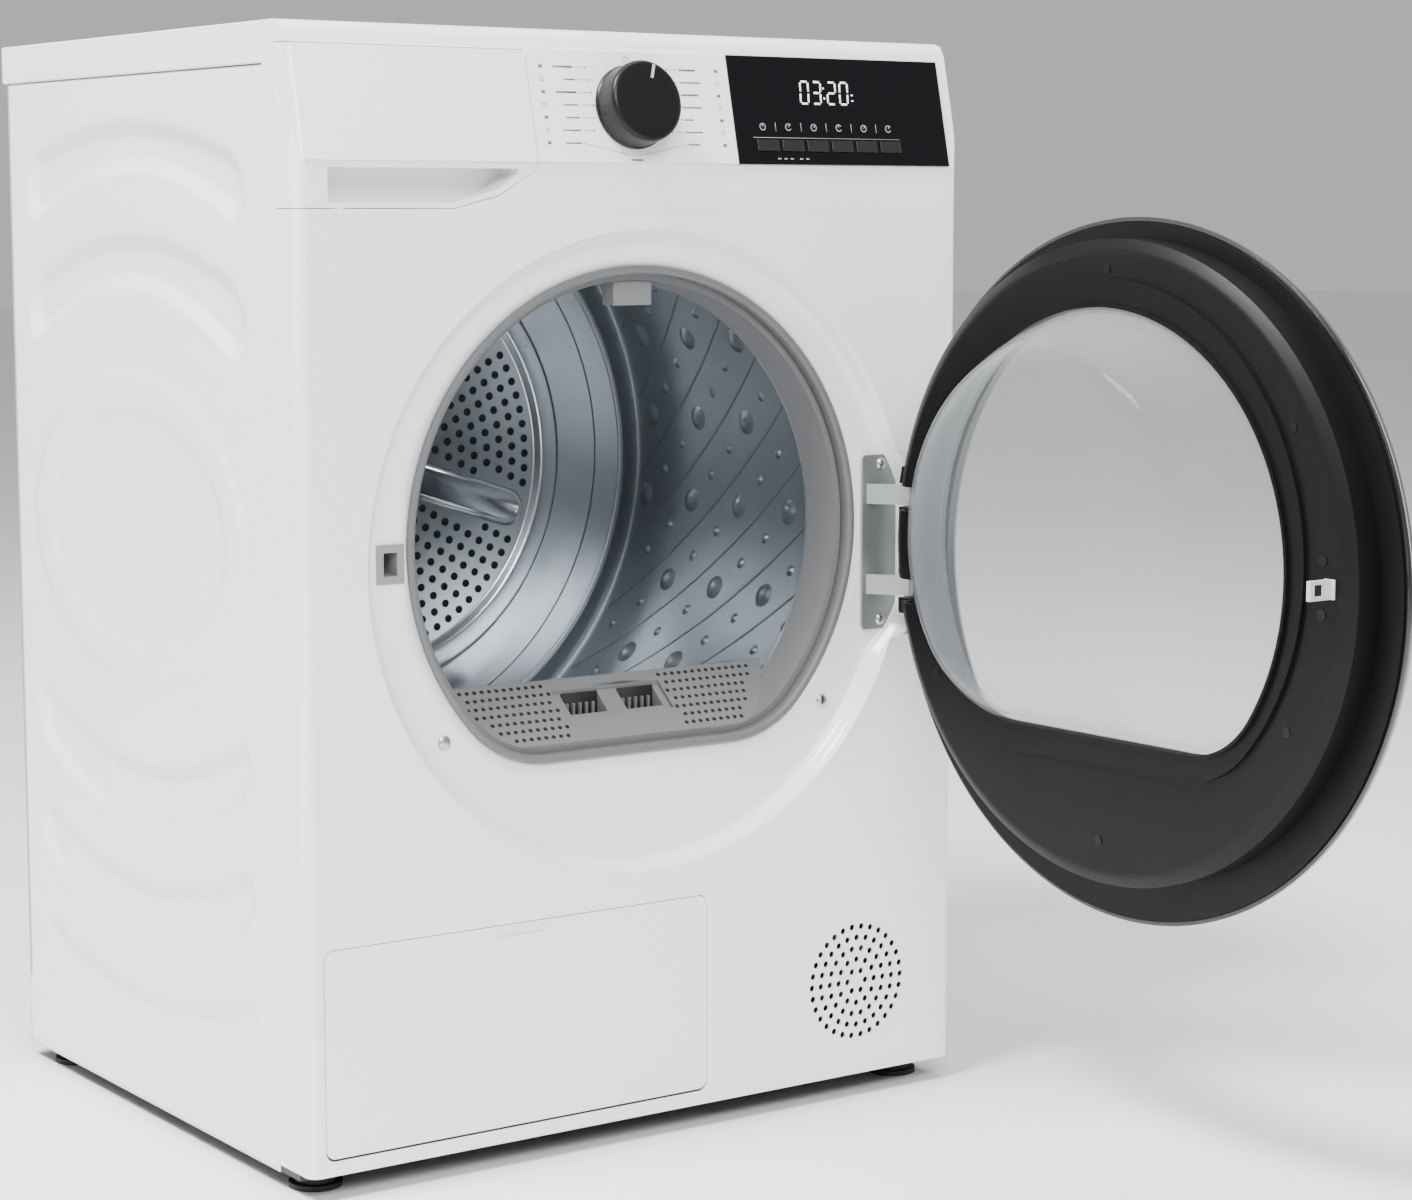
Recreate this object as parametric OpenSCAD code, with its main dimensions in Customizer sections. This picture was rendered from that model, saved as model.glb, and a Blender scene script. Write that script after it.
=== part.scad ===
// Front-loading heat pump clothes dryer, free standing, shown with its round door open.
// Millimetres. The front faces -Y, +X is to the right of someone facing it, +Z is up and
// the floor is z = 0. Depths inside are measured back from the front sheet (see F below).

/* [Cabinet] */
// Width over the side panels
body_w = 598; // [560:1:760]
// Height from the floor to the worktop
body_h = 850; // [830:1:1060]
// Depth from the front sheet to the rear edge of the worktop
body_d = 514; // [490:1:640]
// Thickness of the pressed steel panels
sheet = 1.2; // [0.8:0.1:1.6]
// Radius of the upright front corners
corner_r = 9; // [7:0.5:14]
// Gap from the floor to the side panels
floor_gap = 13; // [11:0.5:16]
// Height of the worktop's edge strip
top_t = 30; // [22:1:36]
// Depth that the front sheet and fascia wrap round the sides
wrap = 49; // [42:1:56]
// Height of the fascia
fascia_h = 136.5; // [130:0.5:150]

/* [Door] */
// Outer radius of the round door
door_r = 262; // [218:1:266]
// Angle the door stands open at
door_open = 92; // [0:1:118]
// Depth of the pressed recess that the door closes into
recess_d = 16; // [14:0.5:20]
// Radius of the hinge pin
pin_r = 3; // [2.5:0.1:4]
// Radial running clearance of pins and shafts in their bores
run = 0.05; // [0.02:0.01:0.1]
// Gap between parts that move past each other
gap = 0.6; // [0.4:0.1:1.2]

/* [Drum] */
// Inner radius of the drum
drum_r = 285.6; // [236:0.1:286.4]
// Height of each drum paddle
paddle_h = 45; // [30:1:52]
// Number of paddles
paddles = 3; // [3:1:3]
// Radius of the motor's belt pulley
pulley_r = 8; // [6:0.5:12]

/* [Controls] */
// Radius of the programme knob
knob_r = 31; // [26:0.5:36]
// Number of option keys
keys = 6; // [3:1:6]
// Width of one option key
key_w = 20; // [16:0.5:21]
// Distance from key to key
key_pitch = 24; // [22:0.5:25]

/* [Service parts] */
// Width of the lower service flap
flap_w = 338; // [300:1:345]
// Height of the lower service flap
flap_h = 157; // [140:1:160]
// Radius of the fan grille
grille_r = 57.8; // [50:0.1:62]
// Rings of holes in the fan grille
grille_rings = 5; // [3:1:5]

/* [Output] */
// Piece to draw

/* [Hidden] */
F = -body_d / 2;
hw = body_w / 2;
in_w = hw - sheet;
seam_z = body_h - fascia_h;
door_z = body_h - 400;
recess_z = door_z + 6.7;
open_z = door_z + 20;
drum_z = door_z + 48;
front_z0 = floor_gap + 5.5;
base_top = floor_gap + 47;
side_d = body_d - 8;

// round door and the opening behind it
recess_r = door_r - 14.6;
seal_r = door_r - 56.5;
seal_flat = open_z - seal_r + 37.5;
mouth_r = seal_r - 11.5;
mouth_flat = seal_flat + 10;
neck_x = door_r - 6;
neck_h = 154;
hinge_x = door_r - 19;
hinge_y = -20;
arm_z = [door_z - 32, door_z + 41];
arm_h = 16;
latch_x = -(door_r - 43);
latch_z = door_z + 11.5;
face_o = 31;
plate_y = recess_d - 3;

// drum and its drive
drum_t = 1.2;
drum_out = drum_r + drum_t;
drum_y0 = 68;
drum_y1 = body_d - 69;
drum_step = drum_y1 - 25;
back_y = drum_y1 + 15;
back_r = drum_r - 38;
rim_r = seal_r + 27;
belt_y = drum_y0 + 180;
shaft_r = 10;
motor_x = 165;
motor_z = 112;
roller_r = 24;
roller_a = 40;
roller_d = drum_out + gap / 2 + roller_r;

// sloping part of the fascia
fascia_t = 2.5;
band_z = seam_z + 37.5;
band_h = 83;
tilt = 12.9;
band_l = band_h / cos(tilt);
plate_t = 2;
split_x0 = -100;
split_x1 = 80.5;
band_x1 = hw - 11;
knob_x = -13;
knob_s = 42.5;
key_x0 = 110;
key_s = 15.5;
key_h = 9;

// condensate tank drawer, in the left corner beside the drum
tank_x0 = -hw + 13;
tank_z0 = drum_z + 228;
tank_y0 = 36;
tank_y1 = body_d - 74;

// service flap and fan
flap_x0 = -286.5 + (299 - hw) ;
flap_z0 = floor_gap + 16.5;
flap_pin = [5.4, flap_z0 + 10.6];
fan_x = 200;
fan_z = floor_gap + 82.8;

foot_x = hw - 27;
foot_y = [45, body_d - 46];
foot_r = 20;

// ---- placing helpers ----

// a flat outline in (x, z), given depth between two distances behind the front sheet
module slab(y0, y1) {
    translate([0, F + y1, 0]) rotate([90, 0, 0]) linear_extrude(y1 - y0) children();
}

// an outline in (depth, z), drawn out sideways between two x positions
module bar(x0, x1) {
    translate([x0, F, 0]) rotate([90, 0, 90]) linear_extrude(x1 - x0) children();
}

// a section in (radius, depth), spun about an axis that runs front to back
module spin(x, z) {
    translate([x, F, z]) rotate([-90, 0, 0]) rotate_extrude($fn = 96) children();
}

// a round bar that runs front to back
module rod(x, z, r, y0, y1) {
    translate([x, F + y0, z]) rotate([-90, 0, 0]) cylinder(h = y1 - y0, r = r, $fn = 64);
}

// a box placed by its low corner, with depth measured from the front sheet
module box(x, y, z, size) {
    translate([x, F + y, z]) cube(size);
}

// the frame of the sloping band: x as usual, z up the slope, -y straight out of it
module on_band() {
    translate([0, F, band_z]) rotate([-tilt, 0, 0]) children();
}

// the door as it stands: everything is drawn closed and swung on the hinge pin
module swing() {
    translate([hinge_x, F + hinge_y, 0]) rotate([0, 0, door_open])
        translate([-hinge_x, -F - hinge_y, 0]) children();
}

// a circle with a flat bottom and rounded lower corners
module dee(r, zc, flat, rc) {
    dz = flat + rc - zc;
    xc = sqrt(pow(r - rc, 2) - dz * dz);
    k = (r - 0.1) / (r - rc);
    translate([0, zc]) difference() {
        circle(r, $fn = 96);
        polygon([[0, 0], [3 * k * xc, 3 * k * dz], [3 * k * xc, -5 * r],
            [-3 * k * xc, -5 * r], [-3 * k * xc, 3 * k * dz]]);
    }
    for (s = [-1, 1]) translate([s * xc, flat + rc]) circle(rc - 0.05, $fn = 64);
    polygon([[0, zc + 9], [k * xc, zc + k * dz], [xc, flat + rc], [xc - 1, flat],
        [1 - xc, flat], [-xc, flat + rc], [-k * xc, zc + k * dz]]);
}

// plan of the front sheet and fascia, inset by t, with rounded front corners
module plan(t, back) {
    translate([-hw + corner_r, F + t]) square([body_w - 2 * corner_r, back - t]);
    translate([-hw + t, F + corner_r]) square([body_w - 2 * t, back - corner_r]);
    for (s = [-1, 1]) translate([s * (hw - corner_r), F + corner_r])
        circle(corner_r - t, $fn = 48);
}

// outline of the pressed recess, round with a neck towards the hinge
module recess(t) {
    cr = 16;
    translate([0, recess_z]) circle(recess_r - t, $fn = 96);
    translate([0, door_z - neck_h / 2 + t]) square([neck_x - cr, neck_h - 2 * t]);
    translate([0, door_z - neck_h / 2 + cr]) square([neck_x - t, neck_h - 2 * cr]);
    for (s = [-1, 1]) translate([neck_x - cr, door_z + s * (neck_h / 2 - cr)])
        circle(cr - t, $fn = 48);
}

module rounded(x, z, w, h, r) {
    translate([x + r, z]) square([w - 2 * r, h]);
    translate([x, z + r]) square([w, h - 2 * r]);
    for (i = [r, w - r], j = [r, h - r]) translate([x + i, z + j]) circle(r, $fn = 32);
}

// ---- cabinet ----

module side_panel(s) {
    color("gainsboro") {
        box(s > 0 ? in_w : -hw, wrap, floor_gap, [sheet, side_d - wrap, body_h - top_t - floor_gap]);
        for (y = [wrap, side_d - sheet]) box(s > 0 ? hw - 11 : -hw + sheet, y, base_top + 1,
            [11 - sheet, sheet, body_h - top_t - base_top - 1]);
    }
}
module left_side_panel() side_panel(-1);
module right_side_panel() side_panel(1);

module front_panel() {
    color("whitesmoke") {
        difference() {
            translate([0, 0, front_z0]) linear_extrude(seam_z - front_z0) difference() {
                plan(0, wrap);
                plan(sheet, wrap + 1);
            }
            slab(-1, sheet + 1) recess(0);
            slab(-1, sheet + 1) rounded(flap_x0, flap_z0, flap_w, flap_h, 8);
            slab(-1, sheet + 1) translate([fan_x, fan_z]) circle(grille_r, $fn = 96);
        }
        slab(0, recess_d) difference() { recess(0); recess(sheet); }
        difference() {
            slab(recess_d, recess_d + sheet) difference() {
                recess(0);
                dee(seal_r, open_z, seal_flat, 90);
                translate([latch_x - 9, latch_z - 11]) square([18, 22]);
            }
            for (s = [-1, 1]) rod(s * 175, seal_flat + 24, 2.2, recess_d - 1, recess_d + 3);
            for (s = [-1, 1]) rod(hinge_x - 11, door_z + 1.5 + s * 63, 2.2, recess_d - 1, recess_d + 3);
        }
    }
}

module top_panel() {
    color("whitesmoke") {
        box(-hw, wrap, body_h - top_t + 14, [body_w, body_d - wrap, top_t - 14]);
        for (x = [-hw, hw - 3]) box(x, wrap, body_h - top_t, [3, body_d - wrap, 14]);
        box(-hw + 3, body_d - 3, body_h - top_t, [body_w - 6, 3, 14]);
    }
}

// rear sheet with the bracket and bearing of the drum shaft
module rear_panel() {
    color("silver") difference() {
        box(-in_w, side_d, floor_gap, [2 * in_w, sheet, body_h - top_t - floor_gap]);
        rod(0, drum_z, back_r - 30, side_d - 1, side_d + 3);
        rod(hw - 60, base_top + 15, 8.5, side_d - 1, side_d + 3);
        rod(-hw + 60, 118, 11, side_d - 1, side_d + 3);
    }
    color("dimgray") difference() {
        union() {
            box(-back_r + 20, side_d - 4, drum_z - 24, [2 * back_r - 40, 4, 48]);
            rod(0, drum_z, 22, back_y + 12, side_d);
        }
        rod(0, drum_z, shaft_r + run, back_y, side_d + 2);
    }
}

// pressed air duct cover that bulges out behind the drum
module rear_duct_cover() {
    r = back_r - 16;
    y = side_d + sheet;
    color("silver") spin(0, drum_z) polygon([[r + 12, y], [r, y], [r - 12, y + 50], [0, y + 54],
        [0, y + 55.5], [r - 11, y + 51.5], [r + 1.2, y + 1.2], [r + 12, y + 1.2]]);
}

module rear_screws() {
    y = side_d + sheet;
    color("dimgray") {
        for (a = [15:30:345]) rod((back_r - 9) * cos(a), drum_z + (back_r - 9) * sin(a), 4, y + 1.2, y + 3.4);
        for (s = [-1, 1], z = [base_top + 40, body_h - 50]) rod(s * (in_w - 8), z, 4, y, y + 2.2);
    }
}

// moulded base with foot bosses and the hinge lugs of the service flap
module base_tray() {
    w = 2 * in_w;
    d = side_d - 20;
    color("darkgray") difference() {
        box(-in_w, 20, floor_gap, [w, d, base_top - floor_gap]);
        box(-in_w + 3, 23, floor_gap + 4, [w - 6, d - 6, base_top]);
        for (s = [-1, 1], y = foot_y) translate([s * foot_x, F + y, 0]) cylinder(h = 60, r = 8, $fn = 48);
        rod(fan_x, fan_z, grille_r + 2.2, 10, 30);
    }
    color("darkgray") for (s = [-1, 1], y = foot_y) translate([s * foot_x, F + y, floor_gap])
        difference() {
            cylinder(h = 26, r = 11, $fn = 48);
            translate([0, 0, -1]) cylinder(h = 40, r = 5 + run, $fn = 48);
        }
    color("darkgray") for (x = [flap_x0 + 20, flap_x0 + flap_w - 32]) {
        for (e = [-4, 13]) bar(x + e, x + e + 3) {
            translate(flap_pin) circle(2.7, $fn = 32);
            translate(flap_pin + [-0.5, -2.4]) square([21 - flap_pin[0], 7]);
        }
        translate([x - 4, F + flap_pin[0], flap_pin[1]]) rotate([0, 90, 0]) cylinder(h = 20, r = 2, $fn = 32);
    }
}

// levelling foot: moulded pad and threaded stud
module foot(s, i) {
    color("dimgray") translate([s * foot_x, F + foot_y[i], 0]) {
        cylinder(h = 4, r = foot_r, $fn = 48);
        cylinder(h = 8, r = foot_r - 5, $fn = 48);
        cylinder(h = 34, r = 5, $fn = 48);
    }
}
module foot_front_left() foot(-1, 0);
module foot_front_right() foot(1, 0);
module foot_rear_left() foot(-1, 1);
module foot_rear_right() foot(1, 1);

// ---- fascia and controls ----

module fascia_shape(t) {
    a = t / cos(tilt);
    s = tan(tilt);
    polygon([[t, seam_z - t], [t, band_z], [a + (band_h + 6) * s, band_z + band_h + 6],
        [a + (band_h + 6) * s + 5, body_h - t - 2], [32, body_h - t], [wrap + t, body_h - t],
        [wrap + t, seam_z - t]]);
}

module drawer_outline(g) {
    polygon([[-hw - 1, band_z - 33.3 - g], [-171, band_z - 33.3 - g], [-133 + g, band_z - 24 - g],
        [split_x0 + g, band_z - 4], [split_x0 + g, band_z + band_h + g], [-hw - 1, band_z + band_h + g]]);
}

module control_fascia() {
    color("whitesmoke") difference() {
        intersection() {
            bar(-hw, hw) fascia_shape(0);
            translate([0, 0, seam_z]) linear_extrude(fascia_h) plan(0, wrap);
        }
        intersection() {
            bar(-hw, hw) fascia_shape(fascia_t);
            translate([0, 0, seam_z - 1]) linear_extrude(fascia_h + 2) plan(fascia_t, wrap + 3);
        }
        slab(-8, 33) drawer_outline(0);
        on_band() {
            translate([knob_x, 1, knob_s]) rotate([90, 0, 0]) cylinder(h = 20, r = 5, $fn = 48);
            translate([knob_x, 8, knob_s]) rotate([90, 0, 0]) cylinder(h = 20, r = 3 + run, $fn = 48);
            for (i = [0:keys - 1]) translate([key_x0 + i * key_pitch - key_w / 2 - 0.4, -1, key_s - key_h / 2 - 0.4])
                cube([key_w + 0.8, 8, key_h + 0.8]);
        }
    }
    color("whitesmoke") on_band() translate([knob_x, 0, knob_s]) rotate([90, 0, 0]) difference() {
        translate([0, 0, -14]) cylinder(h = 14.5 - fascia_t, r = 9, $fn = 48);
        translate([0, 0, -30]) cylinder(h = 40, r = 3 + run, $fn = 48);
    }
}

// printed programme plate round the knob
module programme_panel() {
    color("white") on_band() difference() {
        translate([split_x0 + 0.5, -plate_t, 0.6]) cube([split_x1 - split_x0 - 0.8, plate_t, band_l]);
        translate([knob_x, 8, knob_s]) rotate([90, 0, 0]) cylinder(h = 20, r = 5, $fn = 48);
    }
}

// gloss black display plate
module display_window() {
    color("black") on_band() difference() {
        translate([split_x1, -plate_t, 0.6]) cube([band_x1 - split_x1, plate_t, band_l]);
        for (i = [0:keys - 1]) translate([key_x0 + i * key_pitch - key_w / 2 - 0.4, -8, key_s - key_h / 2 - 0.4])
            cube([key_w + 0.8, 12, key_h + 0.8]);
    }
}

module programme_knob() {
    color("black") on_band() translate([knob_x, 0, knob_s]) rotate([90, 0, 0]) {
        translate([0, 0, plate_t + gap]) cylinder(h = 3, r = knob_r + 1, $fn = 96);
        translate([0, 0, plate_t + gap + 3]) cylinder(h = 21, r = knob_r, $fn = 96);
        translate([0, 0, -16]) cylinder(h = 18 + plate_t + gap, r = 3, $fn = 48);
    }
}

// option key: cap through the display plate, with a lip behind the fascia wall
module option_key(i) {
    x = key_x0 + (i - 1) * key_pitch;
    color("black") on_band() {
        translate([x - key_w / 2, -plate_t - 0.5, key_s - key_h / 2]) cube([key_w, 6, key_h]);
        translate([x - key_w / 2 - 1.5, fascia_t + 0.4, key_s - key_h / 2 - 1.5]) cube([key_w + 3, 1.5, key_h + 3]);
    }
}
module key_1() option_key(1);
module key_2() option_key(2);
module key_3() option_key(3);
module key_4() option_key(4);
module key_5() option_key(5);
module key_6() option_key(6);

// ---- condensate tank drawer ----

module drawer_skin(t) {
    intersection() {
        bar(-hw, hw) fascia_shape(t);
        translate([0, 0, seam_z]) linear_extrude(fascia_h) plan(t, wrap + 3 * t);
        slab(-8, 33 - gap) drawer_outline(-gap);
    }
}

// outline of the scooped grip below the plate
module grip(t) {
    polygon([[-hw + 23 + t, band_z - 31 + t], [-172, band_z - 31 + t], [-136, band_z - 22 + t],
        [-112 - 2 * t, band_z - 8], [-112 - 2 * t, band_z - 2 - t], [-hw + 23 + t, band_z - 2 - t]]);
}

// front of the drawer: wraps the corner, with a plate over a scooped finger grip
module drawer_front() {
    color("whitesmoke") {
        difference() {
            drawer_skin(0);
            drawer_skin(fascia_t);
            slab(-8, 20) grip(2);
        }
        difference() {
            slab(0.6, 28) grip(0);
            slab(-8, 25.6) grip(2);
        }
        on_band() translate([-hw + 6, -plate_t, 0.6]) cube([hw - 6.4 + split_x0 - gap, plate_t + 1.3, band_l - 1.6]);
        for (x = [tank_x0 + 20, tank_x0 + 70]) intersection() {
            box(x, 0, body_h - 56, [10, tank_y0, 12]);
            bar(-hw, hw) fascia_shape(fascia_t);
        }
    }
}

module tank_section(t) {
    x1 = tank_x0 + 92;
    polygon([[tank_x0 + t, tank_z0 + t], [x1 - t / 2, tank_z0 + t], [x1 + 80 - t, tank_z0 + 61 + t / 2],
        [x1 + 80 - t, body_h - 38 - t], [tank_x0 + t, body_h - 38 - t]]);
}

module water_tank() {
    color("lightsteelblue") difference() {
        slab(tank_y0, tank_y1) tank_section(0);
        slab(tank_y0 + 2, tank_y1 - 2) tank_section(2);
        translate([tank_x0 + 40, F + tank_y1 - 40, body_h - 45]) cylinder(h = 20, r = 12, $fn = 48);
    }
}

// tray fixed under the worktop that the tank runs in
module tank_housing() {
    x1 = tank_x0 + 92;
    z = tank_z0 - 1.5;
    color("darkgray") slab(wrap + 2, tank_y1 + 8) polygon([[tank_x0 - 3, z - 2], [x1 + 1.5, z - 2],
        [x1 + 84, z + 60], [x1 + 84, body_h - top_t], [x1 + 82, body_h - top_t],
        [x1 + 82, z + 61.5], [x1 + 1, z], [tank_x0 - 3, z]]);
}

// ---- opening, seals and drum support ----

module door_seal() {
    color("dimgray") slab(recess_d - 4, recess_d + 8) difference() {
        dee(seal_r, open_z, seal_flat, 90);
        dee(seal_r - 6.5, open_z, seal_flat + 6.5, 83.5);
    }
}

// moulded collar that lines the opening, bolted behind the front sheet
module opening_collar() {
    y = recess_d + sheet;
    color("gray") difference() {
        union() {
            slab(recess_d + 8, 62) difference() {
                dee(seal_r, open_z, seal_flat, 90);
                dee(mouth_r, open_z, mouth_flat, 78.5);
            }
            slab(y, y + 20) difference() {
                dee(seal_r + 3, open_z, seal_flat - 3, 93);
                dee(seal_r, open_z, seal_flat, 90);
            }
            slab(y, y + 3) difference() {
                dee(seal_r + 20, open_z, seal_flat - 20, 110);
                dee(seal_r, open_z, seal_flat, 90);
            }
        }
        box(-53, 42, seal_flat - 6, [106, 18, 30]);
        for (s = [-1, 1]) rod(s * 175, seal_flat + 24, 2.2, y - 1, y + 5);
        slab(y - 1, y + 5) translate([latch_x - 14, latch_z - 17]) square([28, 34]);
        slab(y - 1, y + 5) translate([hinge_x - 34, door_z - 75]) square([60, 153]);
    }
}

// steel plate with a rolled spigot that carries the front rim of the drum
module front_bulkhead() {
    y = drum_y0 - 6;
    color("silver") {
        union() {
            slab(y, y + 2) difference() {
                translate([0, drum_z]) circle(drum_out, $fn = 96);
                dee(mouth_r, open_z, mouth_flat, 78.5);
            }
            rodring(rim_r - 4, rim_r - 6, y + 2, y + 12);
            for (s = [-1, 1]) slab(y, y + 2) difference() {
                translate([s > 0 ? 150 : -in_w + 11, drum_z - 260]) square([in_w - 161, 475]);
                translate([0, drum_z]) circle(drum_out - 5, $fn = 96);
            }
        }
    }
    color("silver") for (s = [-1, 1]) {
        rod(s * roller_d * sin(roller_a), drum_z - roller_d * cos(roller_a), 4, y + 2, y + 32);
        rod(s * roller_d * sin(roller_a), drum_z - roller_d * cos(roller_a), 7, y + 2, y + 7.4);
    }
}

module rodring(r1, r0, y0, y1) {
    difference() {
        rod(0, drum_z, r1, y0, y1);
        rod(0, drum_z, r0, y0 - 1, y1 + 1);
    }
}

// perforated sloping grille in the lower lip of the opening
module filter_grille() {
    y0 = recess_d + 9;
    lift = 0.82;
    color("gray") difference() {
        intersection() {
            bar(-mouth_r, mouth_r) polygon([[y0, mouth_flat + 2], [y0, mouth_flat - 1],
                [y0 + 3, mouth_flat - 1], [72, mouth_flat + lift * (72 - y0) - 2],
                [72, mouth_flat - 1], [75, mouth_flat - 1], [75, mouth_flat + lift * (75 - y0) + 2]]);
            slab(y0, 75) dee(mouth_r, open_z, mouth_flat, 78.5);
        }
        box(-50, 43.4, mouth_flat - 10, [100, 23, 90]);
        for (i = [0:3], s = [-1, 1]) box(s > 0 ? 60 + i * 14 : -68 - i * 14, 46, mouth_flat - 10, [8, 16, 90]);
    }
}

// lint filter: finger head in the grille and a thin mesh cassette in the duct below
module lint_filter() {
    y0 = recess_d + 9;
    lift = 0.82;
    z = mouth_flat;
    color("gray") {
        difference() {
            bar(-49, 49) polygon([[44.4, z + lift * (44.4 - y0)], [65.4, z + lift * (65.4 - y0)],
                [65.4, z + lift * (65.4 - y0) - 22], [44.4, z + lift * (44.4 - y0) - 16]]);
            for (s = [-1, 1]) box(s > 0 ? 9 : -43, 48, z - 4, [34, 16, 60]);
        }
        difference() {
            box(-48, 45, z - 112, [96, 11, 116]);
            for (i = [0, 1]) box(-43 + i * 45, 44, z - 106, [41, 13, 98]);
        }
        box(-44, 50, z - 108, [88, 0.8, 102]);
    }
}

module drum_lamp() {
    color("gainsboro") intersection() {
        box(-17.5, recess_d + 9, open_z + mouth_r - 19, [35, 16, 30]);
        slab(recess_d, 60) dee(mouth_r, open_z, mouth_flat, 78.5);
    }
}

// plastic catch that the door's hook pushes into
module latch_receptacle() {
    y = recess_d;
    color("lightgray") difference() {
        union() {
            slab(y - 1.5, y) translate([latch_x - 11.5, latch_z - 14.5]) square([23, 29]);
            box(latch_x - 9, y, latch_z - 11, [18, 30, 22]);
        }
        box(latch_x - 5.5, y - 3, latch_z - 8.5, [11, 29, 17]);
    }
}

// zinc hinge plate with two raised arms that end in eyes round the door's pins
module hinge_plate() {
    cx = hinge_x - 11;
    color("darkgray") {
        difference() {
            slab(plate_y, plate_y + 3) rounded(hinge_x - 30, door_z - 69, 38, 141, 4);
            for (s = [-1, 1]) rod(cx, door_z + 1.5 + s * 63, 2.2, plate_y - 1, plate_y + 4);
        }
        for (z = arm_z) difference() {
            translate([0, F, z - arm_h / 2]) linear_extrude(arm_h) {
                translate([hinge_x, hinge_y]) circle(6.5, $fn = 48);
                translate([hinge_x - 24, plate_y + 1]) rotate(atan2(hinge_y - plate_y - 1, 24))
                    translate([0, -2.5]) square([norm([24, hinge_y - plate_y - 1]), 5]);
            }
            translate([hinge_x, F + hinge_y, z - arm_h]) cylinder(h = 2 * arm_h, r = pin_r + run, $fn = 48);
        }
    }
}

// screws of the hinge plate and the two in the floor of the recess
module front_screws() {
    color("gray") for (s = [-1, 1]) {
        rod(hinge_x - 11, door_z + 1.5 + s * 63, 5, plate_y - 2.5, plate_y);
        rod(hinge_x - 11, door_z + 1.5 + s * 63, 2.1, plate_y, recess_d + 12);
        rod(s * 175, seal_flat + 24, 5.5, recess_d - 2.5, recess_d);
        rod(s * 175, seal_flat + 24, 2.1, recess_d, recess_d + 10);
    }
}

// ---- door, drawn closed and swung open ----

// gloss outer ring that trims the front of the door
module door_outer_ring() {
    y = hinge_y;
    r = door_r;
    color("black") swing() difference() {
        spin(0, door_z) polygon([[r, y], [r, y - 3], [r - 2.5, y - 9], [r - 10, y - 16], [r - 23, y - 21],
            [r - 37, y - 22], [r - 46, y - 17.5], [r - 50, y - 12], [r - 50, y - 5], [r - 47, y - 5],
            [r - 47, y - 11], [r - 44.5, y - 14.8], [r - 36.5, y - 19], [r - 24, y - 18], [r - 12, y - 13.3],
            [r - 5, y - 7.2], [r - 3, y - 2.5], [r - 3, y]]);
        for (z = arm_z) box(hinge_x - 12, y - 7, z - arm_h / 2 - 1.5, [40, 60, arm_h + 3]);
    }
}

// room inside the outer ring, for trimming the parts that it holds
module ring_room() {
    y = hinge_y;
    r = door_r - 3.2;
    spin(0, door_z) polygon([[0, y + 60], [r, y + 60], [r, y - 2.5], [r - 2, y - 7.4], [r - 9, y - 12.9],
        [r - 21, y - 17.4], [r - 33, y - 18.4], [r - 41, y - 14], [r - 44, y - 10.5], [r - 44, y - 4.5],
        [0, y - 4.5]]);
}

module door_hole(t) {
    dee(door_r - 64 + t, open_z, seal_flat + 8 - t, 82 + t);
}

module door_lip(t) {
    dee(door_r - 79 + t, door_z + 14, seal_flat + 29 - t, 70 + t);
}

// matt black inner frame: rim, raised face with a lip round the bowl, and hinge block
module door_inner_frame() {
    y = hinge_y;
    f = y + face_o;
    color("dimgray") swing() difference() {
        union() {
            slab(y - 1, y + 2) difference() {
                translate([0, door_z]) circle(door_r - 3.2, $fn = 96);
                translate([0, door_z + 8]) circle(door_r - 26.5, $fn = 96);
            }
            slab(y - 1, f - 7) difference() {
                translate([0, door_z + 8]) circle(door_r - 23.5, $fn = 96);
                translate([0, door_z + 8]) circle(door_r - 26.5, $fn = 96);
            }
            spin(0, door_z + 8) polygon([[door_r - 23.5, f - 7], [door_r - 30, f - 2.4], [door_r - 36, f],
                [door_r - 39, f], [door_r - 39, f - 3], [door_r - 36, f - 3], [door_r - 31, f - 5.4],
                [door_r - 26.5, f - 9], [door_r - 26.5, f - 12], [door_r - 23.5, f - 12]]);
            slab(f - 3, f) difference() {
                translate([0, door_z + 8]) circle(door_r - 38, $fn = 96);
                door_hole(0);
            }
            slab(f - 3, f + 3.5) difference() { door_hole(0); door_hole(-3); }
            slab(f + 1, f + 3.5) difference() { door_hole(0); door_lip(0); }
            slab(f - 3, f + 7) difference() { door_lip(2.5); door_lip(0); }
            intersection() {
                box(hinge_x - 11, y - 12, door_z - 54, [22, 22, 118]);
                ring_room();
            }
        }
        for (z = arm_z) box(hinge_x - 31, y - 13, z - arm_h / 2 - 1.5, [60, 70, arm_h + 3]);
        translate([hinge_x, F + y, door_z - 60]) cylinder(h = 140, r = pin_r, $fn = 48);
    }
}

// clamp ring behind the inner frame that holds the bowl's flange
module door_clamp_ring() {
    f = hinge_y + face_o;
    color("black") swing() difference() {
        slab(f - 12, f - 3) translate([0, door_z + 8]) circle(door_r - 40, $fn = 96);
        slab(f - 6, f) translate([0, door_z + 14]) circle(door_r - 60, $fn = 96);
        slab(f - 13, f - 5) translate([0, door_z + 14]) circle(door_r - 66, $fn = 96);
        for (z = arm_z) box(hinge_x - 31, -30, z - arm_h / 2 - 1.5, [60, 70, arm_h + 3]);
    }
}

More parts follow.
